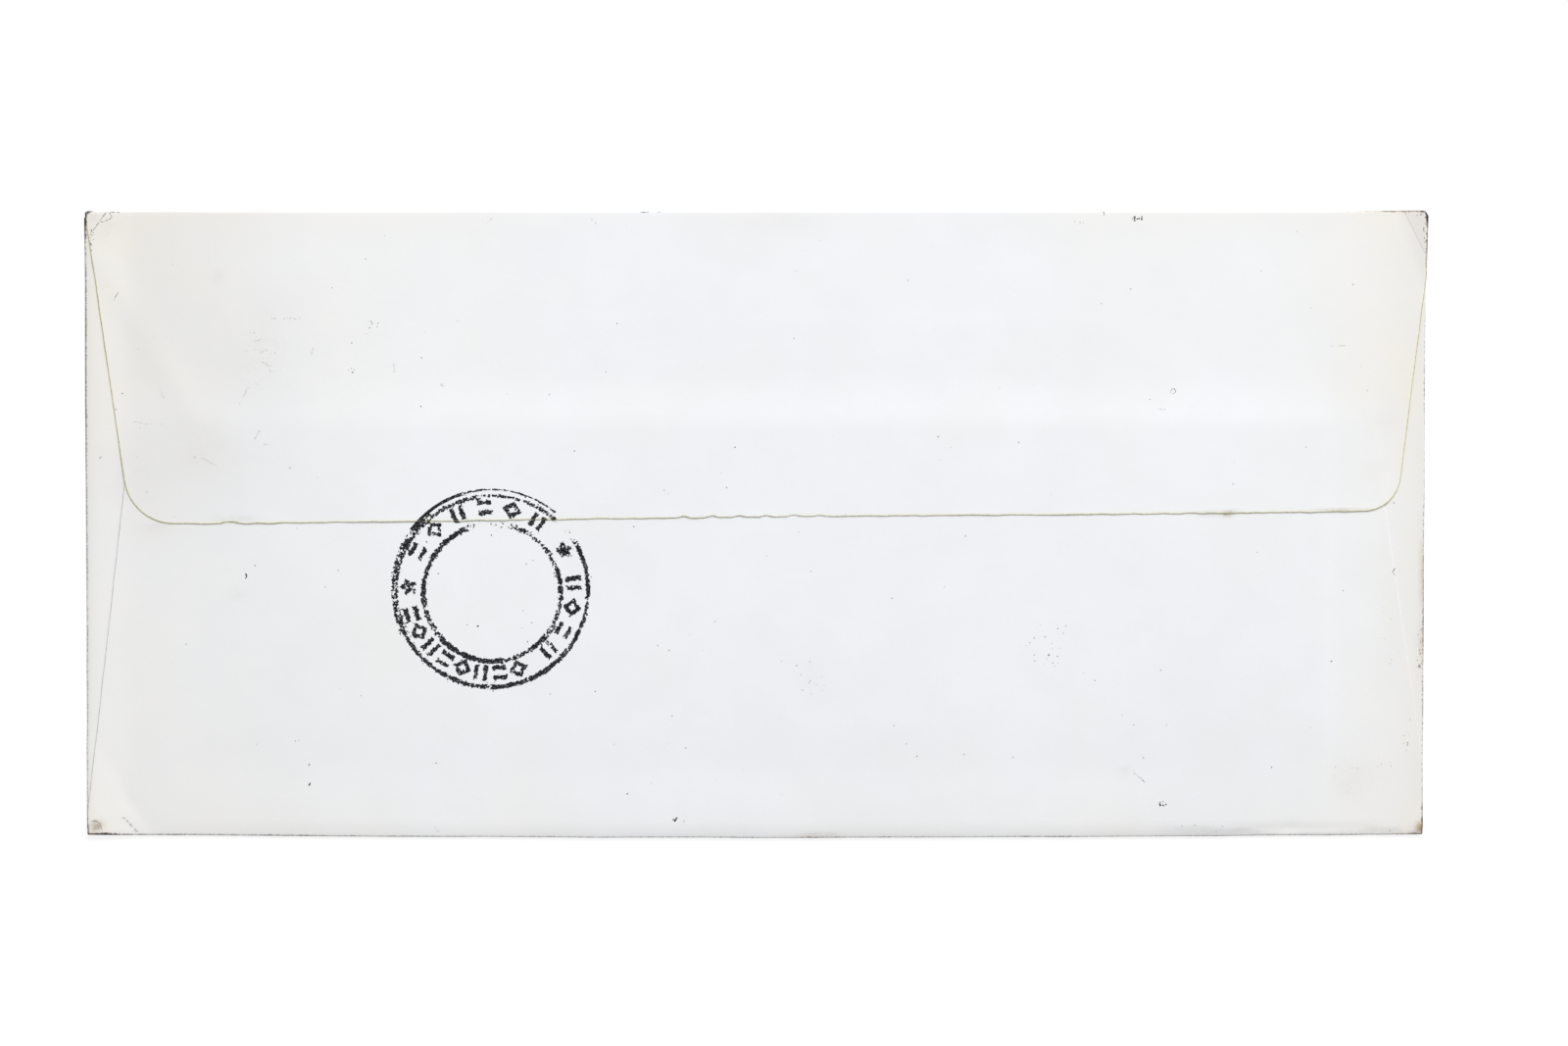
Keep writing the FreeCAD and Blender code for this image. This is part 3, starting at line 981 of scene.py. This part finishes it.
def add_cut_edges(tree, colour, place, on_flap):
    """A strip of dried gum, the flap's darker cut edge, and a painted shadow beside the back panel's
    seam on the left half.
    """
    ragged = noise(tree, place, 1500.0, 3.0, 0.7)
    cut_gap = attribute(tree, "cut_gap")
    gum_strip = spread(tree, scaled_sum(tree, ragged, 0.9, cut_gap), 1.1, 0.4)
    colour = lay_over(tree, colour, DRIED_GUM, gum_strip, on_flap, 0.6)
    rim = spread(tree, scaled_sum(tree, ragged, 0.22, cut_gap), 0.27, 0.13)
    rim_tone = mix_colour(tree, noise(tree, place, 260.0, 2.0, 0.5), RIM_DARK, RIM_PALE)
    colour = lay_over(tree, colour, rim_tone, rim, on_flap, 0.85)
    # A painted shadow beside the back panel's seam, on the left half only.
    off_flap = math_node(tree, "SUBTRACT", 1.0, on_flap)
    left_half = spread(tree, place_along_x(tree, place), 0.05, -0.05)
    return lay_over(tree, colour, PAINTED_SEAM_SHADOW, rim, off_flap, left_half, 0.55)


def add_stains(tree, colour, place):
    """Blotchy brown and grey stains, and the painted shade above the lower fold, which comes with the
    grey.
    """
    blotchy = spread(tree, noise(tree, place, 700.0, 3.0, 0.7), 0.25, 0.6, 0.35, 1.0)
    colour = lay_over(tree, colour, STAIN_BROWN, attribute(tree, "brown"), blotchy)
    # Grey stains and painted shade above the lower fold.
    return lay_over(tree, colour, GREY_STAIN_AND_SHADE, attribute(tree, "grey_stain_and_shade"), blotchy)


def add_fold_soil_and_shade(tree, colour, place):
    """Crumbly soil along the folds, with painted fold shade in it, rusty where the paper is stained
    brown.
    """
    soil_and_shade = attribute(tree, "fold_soil_and_shade")
    reach = scaled_sum(tree, soil_and_shade, -0.5, attribute(tree, "fold_gap"))
    crumbs = spread(tree, noise(tree, place, 2200.0, 3.0, 0.75), 0.34, 0.66)
    soiled_and_shaded = spread(tree, scaled_sum(tree, crumbs, 0.27, reach), 0.30, 0.0)
    strength = spread(tree, soil_and_shade, 0.0, 0.8, 0.35, 1.0)
    rusty = spread(tree, attribute(tree, "brown"), 0.0, 0.55)
    soil_and_shade_tone = mix_colour(tree, rusty, SOIL_AND_SHADE_GREY, SOIL_RUST)
    # Soil and painted fold shade laid on along the folds.
    return lay_over(tree, colour, soil_and_shade_tone, soiled_and_shaded, strength)


def add_dust(tree, colour, place, flecks):
    """Fine dust all over, and grime in the grey stains and in the painted shade above the lower fold.
    """
    dust = place_group(tree, flecks, Vector=place, Spacing=420.0, Size=0.07, Share=0.035)
    colour = lay_over(tree, colour, DUST_GREY, dust.outputs["Mask"], 0.45)
    grime = place_group(tree, flecks, Vector=place, Spacing=900.0, Size=0.16, Share=0.4)
    in_grey_stain_and_shade = spread(tree, attribute(tree, "grey_stain_and_shade"), 0.0, 0.04)
    return lay_over(tree, colour, GRIME_GREY, grime.outputs["Mask"], in_grey_stain_and_shade, 0.3)


def finish_matt(tree, shader, colour, grain, roughness, gloss, relief):
    """Gives a shader its colour, and a matt finish with the grain of the paper."""
    tree.links.new(colour, shader.inputs["Base Color"])
    rough = spread(tree, grain.outputs["Mottle"], 0.0, 1.0, *roughness)
    tree.links.new(rough, shader.inputs["Roughness"])
    shader.inputs["Specular IOR Level"].default_value = gloss
    add_bump(tree, shader, grain.outputs["Height"], relief)


def paper_material(fibre, flecks):
    """White uncoated paper, yellowed by gum at its cut edge and soiled along its folds."""
    material, tree, shader = new_material("envelope_paper")
    place = object_place(tree)
    on_flap = attribute(tree, "on_flap")
    grain = place_group(tree, fibre, Vector=place, Fineness=2600.0)
    colour = paper_tone_and_shade(tree, grain.outputs["Mottle"])
    colour = add_bent_corner_shade(tree, colour, place, on_flap)
    colour = add_cut_edges(tree, colour, place, on_flap)
    colour = add_stains(tree, colour, place)
    colour = add_fold_soil_and_shade(tree, colour, place)
    colour = add_dust(tree, colour, place, flecks)
    finish_matt(tree, shader, colour, grain, (0.78, 0.92), 0.25, 0.00006)
    return material


def ink_material(fibre, flecks):
    """Stamp ink on paper: nearly black, greyer where it is thin, with bare flecks. It also draws one
    faint painted crease shade line.
    """
    material, tree, shader = new_material("ink_and_crease_shade")
    place = object_place(tree)
    grain = place_group(tree, fibre, Vector=place, Fineness=5200.0)
    thin = spread(tree, noise(tree, place, 3400.0, 3.0, 0.7), 0.5, 0.72)
    colour = mix_colour(tree, thin, THICK_INK, THIN_INK)
    bare = place_group(tree, flecks, Vector=place, Spacing=4200.0, Size=0.3, Share=0.16)
    colour = lay_over(tree, colour, BARE_FLECK, bare.outputs["Mask"], 0.7)
    colour = lay_over(tree, colour, FAINT_INK, attribute(tree, "faintness"))
    finish_matt(tree, shader, colour, grain, (0.7, 0.9), 0.2, 0.00003)
    return material


def top_of_paper(x, y):
    """Upper face of the paper that shows at a point, and whether that is the seal flap."""
    on_flap = y > flap_line(x) + flap_raggedness(x)
    lifted = seal_height(x, y) + flap_curl(x, y, flap_cut_gap(x, y))
    height = np.where(on_flap, lifted, back_height(x, y))
    return height + PAPER / 2, on_flap


# The postmark's middle and reach, how far ink lies above the paper, the cells that its outline is
# cut in, and how near a cell's corner a cut may come.
STAMP_MIDDLE = (-45.2, -11.3)
STAMP_REACH = 18.4
INK_LIFT = 0.02
STAMP_CELL = 0.08
STRAY_CELL = 0.045
NEAREST_CUT = 0.04

# Rings of the postmark: middle, radius, half-width, start and end angle, dryness.
STAMP_RINGS = (
    ((0.0, 0.0), 16.6, 0.37, -44, 33, 1.0),
    ((0.0, 0.0), 16.6, 0.43, -94, -32, 0.8),
    ((0.0, 0.0), 16.6, 0.36, -170, -86, 1.15),
    ((0.0, 0.0), 16.55, 0.56, -215, -160, 1.5),
    ((0.0, 0.0), 16.45, 0.50, 128, 200, 1.55),
    ((0.1, 0.1), 17.15, 0.29, 106, 144, 0.2),
    ((0.1, 0.1), 17.15, 0.13, 50, 110, 0.6),
    ((0.1, 0.1), 17.2, 0.09, 141, 166, 1.0),
    ((0.1, -0.1), 16.2, 0.36, 96, 143, 1.3),
    ((0.1, -0.1), 16.3, 0.26, 46, 98, 1.3),
    ((0.2, -0.4), 11.8, 0.43, 104, 216, 1.15),
    ((0.2, -0.4), 11.8, 0.45, 210, 332, 1.1),
    ((0.2, -0.4), 11.8, 0.36, -32, 74, 1.45),
)
MARK_RADIUS = 14.2
MARK_RUNS = ((5, -46, 4), (-71, -163, 8), (56, 152, 6))
STAR_ANGLES = (28.6, 178.0)

# The plain marks between the rings: half-sizes and offsets of their bars, and how dry they are.
BAR_HALF = 0.4
SPOKE_HALF = 1.3
SPOKE_OFFSET = 0.78
DASH_HALF = 1.2
DASH_OFFSET = 0.85
LOZENGE_HALF = 0.85
STAR_HEART = 0.9
STAR_POINTS = 0.55
MARK_DRYNESS = 1.0
STAR_DRYNESS = 1.45

# Specks in and round the postmark: how many, how far from its middle and how large.
STAMP_SPECKS = 46
STAMP_SPECK_REACH = (6, 18.2)
STAMP_SPECK_SIZES = (0.05, 0.13)


def ring_coverage(x, y, ring):
    """How far inside the ink each point lies, for one ring or part of one."""
    (middle_x, middle_y), radius, half_width, start, end, _ = ring
    away_x, away_y = x - middle_x, y - middle_y
    turn = np.mod(np.degrees(np.arctan2(away_y, away_x)) - start, 360)
    span = end - start
    fade = np.minimum(turn, span - turn) * radius * math.radians(1) * 0.07
    return np.minimum(half_width - np.abs(np.hypot(away_x, away_y) - radius), fade)


def pair_of_spokes(out, across):
    """Two short bars that point to the postmark's middle."""
    return np.minimum(SPOKE_HALF - np.abs(out), BAR_HALF - np.abs(np.abs(across) - SPOKE_OFFSET))


def pair_of_dashes(out, across):
    """Two short bars along the ring."""
    return np.minimum(BAR_HALF - np.abs(np.abs(out) - DASH_OFFSET), DASH_HALF - np.abs(across))


def lozenge(out, across):
    """A hollow square stood on its corner."""
    return BAR_HALF - np.abs((np.abs(out) + np.abs(across)) * 0.75 - LOZENGE_HALF)


def star(out, across):
    """A small five-pointed star."""
    points = (np.cos(5 * np.arctan2(across, out)) + 1) / 2
    return STAR_HEART + STAR_POINTS * points - np.hypot(out, across)


MARK_SHAPES = (pair_of_spokes, lozenge, pair_of_dashes)


def mark_coverage(x, y, angle, shape):
    """How far inside the ink each point lies, for one plain mark between the rings."""
    turn = math.radians(angle)
    out = x * math.cos(turn) + y * math.sin(turn) - MARK_RADIUS
    across = y * math.cos(turn) - x * math.sin(turn)
    return shape(out, across)


def ink_grit(x, y):
    """Where ink takes on rough paper, above 0, and where it misses."""
    return 0.55 * lumps(x, y, 0.30, 61) + 0.55 * lumps(x, y, 0.16, 62) + 0.28 * lumps(x, y, 1.6, 63)


def stamp_field(x, y):
    """Where the postmark's ink took, above 0, and where the paper stayed bare."""
    grit = ink_grit(x, y)
    strokes = [(ring_coverage(x, y, ring), ring[-1]) for ring in STAMP_RINGS]
    turns = [angle for run in MARK_RUNS for angle in np.linspace(*run)]
    for number, angle in enumerate(turns):
        shape = MARK_SHAPES[number % len(MARK_SHAPES)]
        strokes.append((mark_coverage(x, y, angle, shape), MARK_DRYNESS))
    for angle in STAR_ANGLES:
        strokes.append((mark_coverage(x, y, angle, star), STAR_DRYNESS))
    field = np.full(np.shape(x), -1.0)
    for coverage, dryness in strokes:
        field = np.maximum(field, np.minimum(coverage, 0.2) + 0.3 * dryness * (grit - 0.12))
    scatter = np.random.default_rng(64)
    for _ in range(STAMP_SPECKS):
        angle, radius = scatter.uniform(0, math.tau), scatter.uniform(*STAMP_SPECK_REACH)
        size = scatter.uniform(*STAMP_SPECK_SIZES)
        away = np.hypot(x - radius * math.cos(angle), y - radius * math.sin(angle))
        field = np.maximum(field, size - away + 0.06 * grit)
    return field


# Stray marks and one painted crease shade line: strokes of a half-width and faintness through points.
STROKES_AND_CREASE_SHADE = (
    (0.13, 0.0, ((-87.25, -8.6), (-87.1, -8.95), (-87.3, -9.3))),
    (0.035, 0.2, ((71.2, 22.6), (71.4, 23.1), (71.9, 23.2), (72.1, 22.7), (71.7, 22.3), (71.2, 22.6))),
    (0.05, 0.1, ((59.8, 53.45), (59.8, 52.9))),
    (0.09, 0.0, ((-76.35, -44.4), (-76.5, -44.8))),
    (0.03, 0.1, ((65.1, -42.7), (66.0, -43.4), (67.2, -44.5))),
    (0.035, 0.1, ((-109.75, 38.4), (-109.5, 39.0), (-108.9, 39.9))),
    (0.045, 0.1, ((109.75, -7.6), (109.45, -8.2), (109.85, -8.8))),
    (0.05, 0.25, ((-113.4, 50.3), (-112.4, 51.6), (-111.7, 52.6), (-111.1, 53.3))),
    (0.05, 0.25, ((-112.4, 51.6), (-111.5, 51.8), (-110.5, 52.2), (-110.1, 52.6), (-110.5, 53.2))),
    (0.04, 0.3, ((-110.9, 53.4), (-109.8, 53.4), (-108.8, 53.3))),
    (0.06, 0.4, ((-114.3, -51.3), (-113.4, -51.2), (-112.7, -51.7), (-112.4, -52.6), (-112.0, -53.1))),
    (0.10, 0.0, ((-14.1, -50.5), (-13.7, -50.8))),
    (0.05, 0.2, ((-19.6, 53.35), (-18.2, 53.4))),
    (0.05, 0.4, ((-16.9, 53.3), (-16.0, 53.4))),
    # Painted shade along the crease by the lower left corner, laid on as a faint ink stroke.
    (0.09, 0.7, ((-108.6, -50.6), (-107.9, -51.0), (-107.2, -51.9), (-106.1, -53.0))),
    (0.10, 0.90, ((-86.9, 23.4), (-87.6, 21.8), (-88.3, 20.6))),
    (0.10, 0.92, ((-84.9, 28.2), (-83.6, 27.4), (-82.8, 26.0))),
    (0.08, 0.92, ((-84.7, 29.4), (-83.6, 29.9))),
    (0.09, 0.88, ((-84.6, 31.7), (-85.8, 31.2))),
    (0.12, 0.92, ((-84.9, 16.1), (-85.7, 14.6))),
    (0.10, 0.93, ((-83.9, 13.7), (-82.6, 13.4))),
    (0.10, 0.88, ((-96.0, 11.5), (-94.6, 11.3), (-93.0, 10.4), (-92.2, 10.1))),
    (0.10, 0.93, ((-101.9, 23.3), (-101.4, 22.1), (-101.2, 21.6))),
    (0.06, 0.94, ((-106.7, 17.7), (-104.4, 17.2), (-101.2, 17.2))),
    (0.08, 0.7, ((-112.4, 11.5), (-112.1, 11.6))),
    (0.07, 0.92, ((-44.5, 52.9), (-46.0, 51.2))),
    (0.09, 0.90, ((-28.2, 52.4), (-27.2, 51.6))),
    (0.07, 0.92, ((98.8, 30.5), (101.0, 30.6))),
    (0.06, 0.92, ((68.8, 19.8), (70.4, 19.7))),
    (0.10, 0.93, ((-79.9, 35.3), (-78.6, 35.2))),
    (0.10, 0.93, ((-82.9, 35.4), (-81.3, 35.1))),
    (0.09, 0.93, ((-75.6, 30.5), (-75.9, 29.1))),
    (0.09, 0.93, ((-61.8, 28.0), (-61.7, 26.0))),
    (0.10, 0.92, ((-54.0, 24.0), (-53.3, 23.7))),
    (0.08, 0.90, ((-55.2, -51.8), (-54.4, -52.6))),
)

# Clusters of specks: middle, spread, how many, radius and faintness.
SPECKS = (
    (65.7, 52.2, 1.1, 0.45, 10, 0.12, 0.0),
    (55.4, 51.6, 0.9, 0.7, 5, 0.06, 0.5),
    (-13.7, -50.6, 0.4, 0.5, 5, 0.12, 0.0),
    (-12.1, -51.0, 0.5, 0.3, 3, 0.06, 0.1),
    (69.9, -48.0, 0.7, 0.5, 8, 0.12, 0.0),
    (-78.6, -37.1, 0.5, 0.5, 3, 0.07, 0.3),
    (50.0, -20.5, 3.6, 5.0, 18, 0.07, 0.35),
    (9.6, -27.0, 2.4, 3.6, 14, 0.06, 0.55),
    (-65.3, 34.3, 1.0, 1.0, 6, 0.07, 0.1),
    (-69.0, 26.4, 0.8, 0.5, 5, 0.07, 0.3),
    (-84.6, 28.3, 3.0, 5.0, 16, 0.06, 0.6),
    (-79.5, 35.2, 2.0, 0.5, 6, 0.07, 0.65),
    (112.2, -36.0, 0.7, 4.0, 14, 0.08, 0.4),
    (108.2, -41.3, 2.6, 1.2, 9, 0.07, 0.75),
    (101.3, -43.6, 3.0, 2.6, 8, 0.07, 0.8),
    (114.3, -21.5, 0.6, 4.0, 20, 0.08, 0.35),
    (114.9, 50.0, 0.35, 2.6, 14, 0.08, 0.0),
    (113.6, 53.0, 1.2, 0.35, 12, 0.06, 0.1),
    (-113.7, 48.8, 0.4, 2.2, 22, 0.06, 0.1),
    (-104.0, 21.0, 8.0, 24.0, 26, 0.05, 0.6),
    (30.0, 24.0, 80.0, 26.0, 34, 0.05, 0.6),
    (10.0, -30.0, 95.0, 20.0, 44, 0.05, 0.6),
)

# Lone specks, as places: the darker ones, and the paler ones.
DARK_SPECKS = (
    (-76.5, -41.3), (-3.4, 13.2), (27.8, -39.7), (35.9, -39.4), (26.0, -37.6), (44.2, -39.9),
    (-6.8, -16.7), (47.9, -22.4), (50.4, -22.4), (88.7, -41.8), (65.0, -34.4), (70.6, -34.4),
    (-35.1, -29.1), (-27.4, -28.7), (-21.9, -46.1), (-108.4, 22.4), (-57.2, 20.2), (-42.4, 22.3),
)
PALE_SPECKS = (
    (-50.9, 34.8), (-56.5, 32.8), (-63.4, 49.4), (-72.4, 40.5), (-99.7, 44.4), (-35.2, 22.2),
    (-23.6, 34.4), (7.0, 43.3), (6.7, 31.8), (13.4, 15.1), (31.4, 15.0), (-15.5, 5.8),
    (-4.8, 6.3), (-74.9, 8.0), (-79.6, 9.7), (45.2, 14.0), (67.7, 21.4), (94.4, 13.2),
    (76.0, 6.9), (81.9, 6.9), (86.7, 43.3), (92.8, 50.1), (-73.6, -10.7), (-85.5, -37.8),
    (-71.2, -28.2), (-67.5, -29.4), (-54.7, -40.9), (7.5, -1.4), (36.1, -2.0), (2.0, -5.5),
    (-11.1, -18.9), (-14.7, -21.6), (-15.0, -37.6), (-17.7, -44.3), (53.3, -17.4), (52.9, -18.7),
    (69.6, -25.0), (58.3, -26.8), (63.0, -32.7), (95.3, -34.9), (100.9, -11.4), (98.9, -23.5),
    (86.1, -4.8), (-20.7, -0.4), (23.5, -12.7),
)
LONE_SPECK_RADIUS = 0.085
DARK_FAINTNESS = 0.1
PALE_FAINTNESS = 0.35

# How much room the window of a speck or a stroke leaves round it.
SPECK_WINDOW = 0.5
STROKE_MARGIN = 0.4


def stroke_patch(half_width, faintness, chain):
    """One stroke's window, where its ink took, and how faint it is."""
    chain_x, chain_y = np.array(chain).T
    low = (chain_x.min() - STROKE_MARGIN, chain_y.min() - STROKE_MARGIN)
    high = (chain_x.max() + STROKE_MARGIN, chain_y.max() + STROKE_MARGIN)

    def field(x, y):
        grit = (0.9 + 2.2 * faintness) * (ink_grit(x, y) - 0.05 - 0.12 * faintness)
        return half_width * (1 + grit) - gap_to_chain(x, y, chain)

    return low, high, field, faintness


def speck_patch(x, y, radius, faintness):
    """One speck's window, where its ink took, and how faint it is."""

    def field(grid_x, grid_y):
        away = np.hypot(grid_x - x, grid_y - y)
        return radius - away + radius * 0.9 * ink_grit(grid_x, grid_y)

    low, high = (x - SPECK_WINDOW, y - SPECK_WINDOW), (x + SPECK_WINDOW, y + SPECK_WINDOW)
    return low, high, field, faintness


def stray_and_crease_shade_patches():
    """Windows and fields of every stray stroke and speck, and of the painted crease shade line."""
    patches = [stroke_patch(*stroke) for stroke in STROKES_AND_CREASE_SHADE]
    scatter = np.random.default_rng(65)
    for middle_x, middle_y, half_x, half_y, count, radius, faintness in SPECKS:
        for _ in range(count):
            away, turn = math.sqrt(scatter.uniform(0, 1)), scatter.uniform(0, math.tau)
            x = middle_x + half_x * away * math.cos(turn)
            y = middle_y + half_y * away * math.sin(turn)
            patches.append(speck_patch(x, y, radius * scatter.uniform(0.6, 1.3), faintness))
    for places, faintness in ((DARK_SPECKS, DARK_FAINTNESS), (PALE_SPECKS, PALE_FAINTNESS)):
        for x, y in places:
            radius = LONE_SPECK_RADIUS * scatter.uniform(0.8, 1.2)
            patches.append(speck_patch(x, y, radius, faintness))
    return patches


def ink_film(xs, ys, field):
    """Points and faces where a field is above 0, cut along its zero line."""
    points, faces, numbers = [], [], {}

    def number_of(key, x, y):
        if key not in numbers:
            numbers[key] = len(points)
            points.append((x, y))
        return numbers[key]

    inked = field > 0
    some = inked[:-1, :-1] | inked[1:, :-1] | inked[:-1, 1:] | inked[1:, 1:]
    for row, column in np.argwhere(some).tolist():
        corners = ((row, column), (row, column + 1), (row + 1, column + 1), (row + 1, column))
        ring = []
        for corner, following in zip(corners, corners[1:] + corners[:1]):
            here, there = field[corner], field[following]
            if here > 0:
                ring.append(number_of(corner, xs[corner[1]], ys[corner[0]]))
            if (here > 0) != (there > 0):
                share = min(max(here / (here - there), NEAREST_CUT), 1 - NEAREST_CUT)
                cut_x = xs[corner[1]] + share * (xs[following[1]] - xs[corner[1]])
                cut_y = ys[corner[0]] + share * (ys[following[0]] - ys[corner[0]])
                ring.append(number_of((min(corner, following), max(corner, following)), cut_x, cut_y))
        faces.append(ring)
    return points, faces


def make_ink(name, patches, cell, material):
    """A film of ink on the paper, from windows and the field that is above 0 where ink took."""
    points, faces, faint = [], [], []
    for low, high, field_of, faintness in patches:
        xs = np.arange(low[0], high[0], cell)
        ys = np.arange(low[1], high[1], cell)
        patch_points, patch_faces = ink_film(xs, ys, field_of(*np.meshgrid(xs, ys)))
        faces += [[number + len(points) for number in face] for face in patch_faces]
        points += patch_points
        faint += [faintness] * len(patch_points)
    x, y = np.array(points).T
    heights, on_flap = top_of_paper(x, y)
    faces = [face for face in faces if len({bool(on_flap[number]) for number in face}) == 1]
    x, y = worn_plan(x, y)
    mesh = bpy.data.meshes.new(name)
    mesh.from_pydata((np.stack([x, y, heights + INK_LIFT], 1) * MM).tolist(), [], faces)
    set_attribute(mesh, "faintness", np.array(faint))
    mesh.shade_smooth()
    piece = new_object(name, mesh, material)
    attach(piece, "root")


def make_postmark(material):
    """The round postmark across the seal flap's edge."""
    low, high = ([middle + way * STAMP_REACH for middle in STAMP_MIDDLE] for way in (-1, 1))

    def field(x, y):
        return stamp_field(x - STAMP_MIDDLE[0], y - STAMP_MIDDLE[1])

    make_ink("postmark", [(low, high, field, 0.0)], STAMP_CELL, material)


def add_floor():
    """A white table top: pure white to the camera, with the envelope's soft shadow kept."""
    mesh = bpy.data.meshes.new("floor")
    ways = ((-1, -1), (1, -1), (1, 1), (-1, 1))
    corners = [(FLOOR_REACH * x, FLOOR_REACH * y, FLOOR_LEVEL) for x, y in ways]
    mesh.from_pydata(corners, [], [(0, 1, 2, 3)])
    material, tree, shader = new_material("floor_white")
    shader.inputs["Base Color"].default_value = FLOOR_COLOUR
    shader.inputs["Roughness"].default_value = FLOOR_ROUGHNESS
    seen = add_node(tree, "ShaderNodeBsdfDiffuse", Color=FLOOR_SEEN_COLOUR)
    glow = add_node(tree, "ShaderNodeEmission", Strength=FLOOR_GLOW)
    both = add_node(tree, "ShaderNodeAddShader", _0=seen, _1=glow)
    to_camera = tree.nodes.new("ShaderNodeLightPath").outputs["Is Camera Ray"]
    pick = add_node(tree, "ShaderNodeMixShader", _0=to_camera, _1=shader.outputs[0], _2=both)
    tree.links.new(pick, tree.nodes["Material Output"].inputs["Surface"])
    new_object("floor", mesh, material)


def add_light():
    """A broad soft lamp from the upper right, and even light from all round."""
    lamp = bpy.data.lights.new("softbox", "AREA")
    lamp.shape = "DISK"
    lamp.size = LAMP_SIZE
    lamp.energy = LAMP_POWER
    softbox = bpy.data.objects.new("softbox", lamp)
    softbox.location = LAMP_PLACE
    aim = -softbox.location
    softbox.rotation_euler = aim.to_track_quat("-Z", "Y").to_euler()
    bpy.context.collection.objects.link(softbox)
    world = bpy.data.worlds.new("studio")
    bpy.context.scene.world = world
    world.use_nodes = True
    tree = world.node_tree
    surround = tree.nodes["Background"]
    surround.inputs["Color"].default_value = (1, 1, 1, 1)
    to_camera = tree.nodes.new("ShaderNodeLightPath").outputs["Is Camera Ray"]
    strength = spread(tree, to_camera, 0.0, 1.0, SURROUND_STRENGTH, 1.0)
    tree.links.new(strength, surround.inputs["Strength"])


bpy.context.scene.view_settings.view_transform = "Standard"
add_camera()
add_floor()
add_light()
fibre = paper_fibre_group()
flecks = flecks_group()
paper = paper_material(fibre, flecks)
ink = ink_material(fibre, flecks)
make_envelope(paper)
make_postmark(ink)
# Stray marks, and one painted crease shade line.
make_ink("stray_marks_and_crease_shade", stray_and_crease_shade_patches(), STRAY_CELL, ink)
